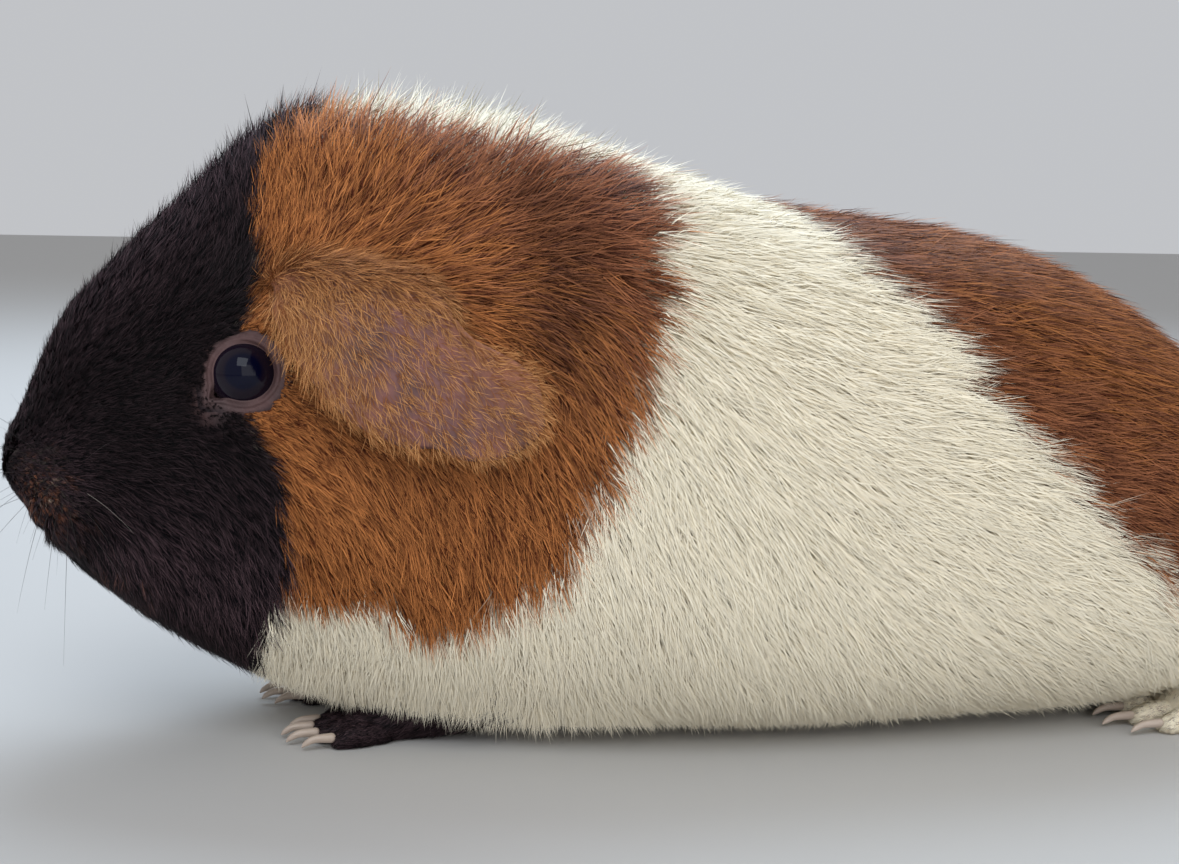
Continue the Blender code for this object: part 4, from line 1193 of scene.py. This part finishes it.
def strands(tufts):
    """The points of the tufts' strands, and what is kept on each. A strand goes from its root,
    through a bend, to a tip: root + heading · reach + normal · lift, where reach² + lift² is its
    length squared. Tips of a tuft draw together. Its width lies across its course, rolled about
    it by a random angle that is wider where the hair stands up."""
    count = (len(tufts), STRANDS)
    place, out, ahead = (tufts[:, None, first : first + 3] for first in (0, 3, 6))
    share = tufts[:, 9:12].copy()
    share[:, 1] /= np.maximum(1.0 - share[:, 0], 0.02)
    share = share * (1.0 + CHOICE) - CHOICE / 2.0 - CHANCE.random(share.shape)
    pigment = np.clip(share / CHOICE + 0.5, 0.0, 1.0)[:, None]
    unwrap = tufts[:, None, 12:14]
    length, lift, spread, shade, width, gold = (tufts[:, None, column, None] for column in range(14, 20))
    aside = np.cross(out, ahead)
    one, many = (count[0], 1, 1), (*count, 1)

    stands = lift / length
    tuft_turn = CHANCE.normal(0.0, 1.0, one) * (6.0 + 16.0 * stands)
    turn = np.radians(tuft_turn + CHANCE.normal(0.0, 1.0, many) * (5.0 + 5.0 * stands + 16.0 * gold))
    way = np.cos(turn) * ahead + np.sin(turn) * aside
    length = length * CHANCE.uniform(0.72, 1.12, one) * CHANCE.uniform(0.75, 1.0, many)
    lift = lift * (1.05 - (0.10 + 0.35 * stands) * CHANCE.random(one))
    uneven = (0.06 + 0.30 * stands) * CHANCE.random(many)
    stray = (0.4 + 0.5 * stands) * CHANCE.random(many) ** STRAY
    lift = lift * (1.04 - uneven + stray)
    under = CHANCE.random(many) < UNDER_SHARE
    lift = lift * np.where(under, CHANCE.uniform(*UNDER_LIFT, many), 1.0)
    lift = np.minimum(lift, 0.93 * length)
    standing = lift / length
    reach = np.sqrt(length**2 - lift**2)
    bearing = CHANCE.uniform(0.0, 2.0 * math.pi, many)
    away = spread * np.where(under, 1.8, 1.0) * np.sqrt(CHANCE.random(many))
    offset = away * (np.cos(bearing) * ahead + np.sin(bearing) * aside)

    root = place + offset - ROOT_DEPTH * out
    bend_lift = lift * (BEND_LIFT - BEND_STANDING * standing**1.5)
    bend = place + offset * 0.9 + way * reach * BEND_REACH + out * bend_lift
    tip = place + offset * (1.0 - CLUMP - CLUMP_STANDING * standing) + way * reach + out * lift
    course = unit(tip - root)
    flat = unit(np.cross(course, out))
    roll = np.radians(CHANCE.uniform(-1.0, 1.0, many) * (5.0 + 95.0 * standing))
    across = np.cos(roll) * flat + np.sin(roll) * np.cross(course, flat)
    across = across * np.sign((np.cross(across, course) * out).sum(-1, keepdims=True) + 1e-9)
    half = width * CHANCE.uniform(0.75, 1.25, many) / 2.0

    spine = np.stack([root, bend, bend, tip], axis=2)
    points = spine + (STRAND_SIDE[:, None] * (half * across)[:, :, None])
    points[..., 2] = np.maximum(points[..., 2], CLEAR_OF_FLOOR)
    facing = unit(0.9 * out + 0.1 * np.cross(across, course))
    along = STRAND_ALONG[:, None] + 0.0 * points[..., :1]
    own, of_tuft = CHANCE.random(many), CHANCE.random(one)
    kept = [along] + [
        np.broadcast_to(np.broadcast_to(value, many)[:, :, None], along.shape)
        for value in (own, of_tuft, shade)
    ]
    step = np.arange(STRANDS)[None, :, None, None] / STRANDS - 0.5
    step = (step + STRAND_SIDE[:, None] * 0.1 / STRANDS + 0.0 * along) * BAKE_PATCH
    spot = unwrap[:, :, None] + np.concatenate([step, (along - 0.5) * BAKE_PATCH], axis=-1)
    full = points.shape[:3]
    tint = np.broadcast_to(pigment[:, :, None], (*full, 3))
    tint = np.concatenate([tint, gold[:, :, None] + 0.0 * along], axis=-1)
    return (
        points.reshape(-1, 3),
        np.broadcast_to(facing[:, :, None], (*full, 3)).reshape(-1, 3),
        tint.reshape(-1, 4),
        np.concatenate(kept, axis=-1).reshape(-1, 4),
        np.clip(spot, 0.0, 1.0).reshape(-1, 2),
    )


# %% The pieces of the coat
def coat_piece(name, tufts):
    """One piece of the coat: many strands as one mesh, shaded mostly by the skin's own normals."""
    points, facing, pigment, strand, unwrap = strands(tufts)
    firsts = np.arange(0, len(points), len(STRAND_ALONG))
    corners = (firsts[:, None, None] + STRAND_FACES).ravel()
    mesh = mesh_of(name, points, corners, 3, unwrap[corners])
    paint(mesh, "pigment", pigment)
    paint(mesh, "strand", strand)
    normals = mesh.attributes.new("custom_normal", "FLOAT_VECTOR", "POINT")
    normals.data.foreach_set("vector", facing.astype(np.float32).ravel())
    placed(name, mesh, HAIR)
    return len(corners) // 3


for number, share in enumerate(np.array_split(roots, COAT_PIECES), start=1):
    triangles = coat_piece(f"coat_{number}", share)
print(COAT_PIECES, "pieces of coat with about", triangles, "triangles each")

# %% [markdown]
# ## Floor and light
#
# A plain pale floor under the animal, a window's soft light from above and behind, which rims the
# crown and the back, and a broad fill on the near side. A small window is seen in the eye.

# %% Floor, world and lights
FLOOR_SIZE = 6.0
FLOOR_COLOUR, ROOM_COLOUR = (0.52, 0.51, 0.495), (0.94, 0.96, 1.0)
ROOM_LIGHT = 0.57


def lamp(name, place, target, size, watts, colour):
    """A soft rectangular light that looks at a target."""
    data = bpy.data.lights.new(name, "AREA")
    data.shape, data.size, data.size_y = "RECTANGLE", size[0], size[1]
    data.energy, data.color = watts, colour
    made = bpy.data.objects.new(name, data)
    made.location = place
    made.rotation_euler = (Vector(target) - Vector(place)).to_track_quat("-Z", "Y").to_euler()
    bpy.context.scene.collection.objects.link(made)


floor_finish = Finish("floor", Roughness=0.9, Specular_IOR_Level=0.1)
floor_finish.join((*FLOOR_COLOUR, 1.0), floor_finish.shader.inputs["Base Color"])
half = FLOOR_SIZE / 2.0
floor_mesh = bpy.data.meshes.new("floor")
floor_corners = [(-half, -half, 0), (half, -half, 0), (half, half, 0), (-half, half, 0)]
floor_mesh.from_pydata(floor_corners, [], [(0, 1, 2, 3)])
floor_mesh.materials.append(floor_finish.material)
floor = bpy.data.objects.new("floor", floor_mesh)
bpy.context.scene.collection.objects.link(floor)

world = bpy.data.worlds.new("room")
world.use_nodes = True
world.node_tree.nodes["Background"].inputs["Color"].default_value = (*ROOM_COLOUR, 1.0)
world.node_tree.nodes["Background"].inputs["Strength"].default_value = ROOM_LIGHT
bpy.context.scene.world = world

HEAD, FLANK = (0.0, -0.06, 0.06), (0.0, 0.02, 0.04)
lamp("window_behind", (-0.42, 0.18, 0.72), HEAD, (0.7, 0.6), 7.0, (0.70, 0.84, 1.0))
lamp("window_near", (0.53, -0.29, 0.68), HEAD, (0.5, 0.45), 2.6, (0.88, 0.94, 1.0))
lamp("fill", (0.80, 0.02, 0.30), FLANK, (0.8, 0.6), 1.9, (1.0, 0.98, 0.96))
bpy.context.scene.view_settings.view_transform = "Standard"
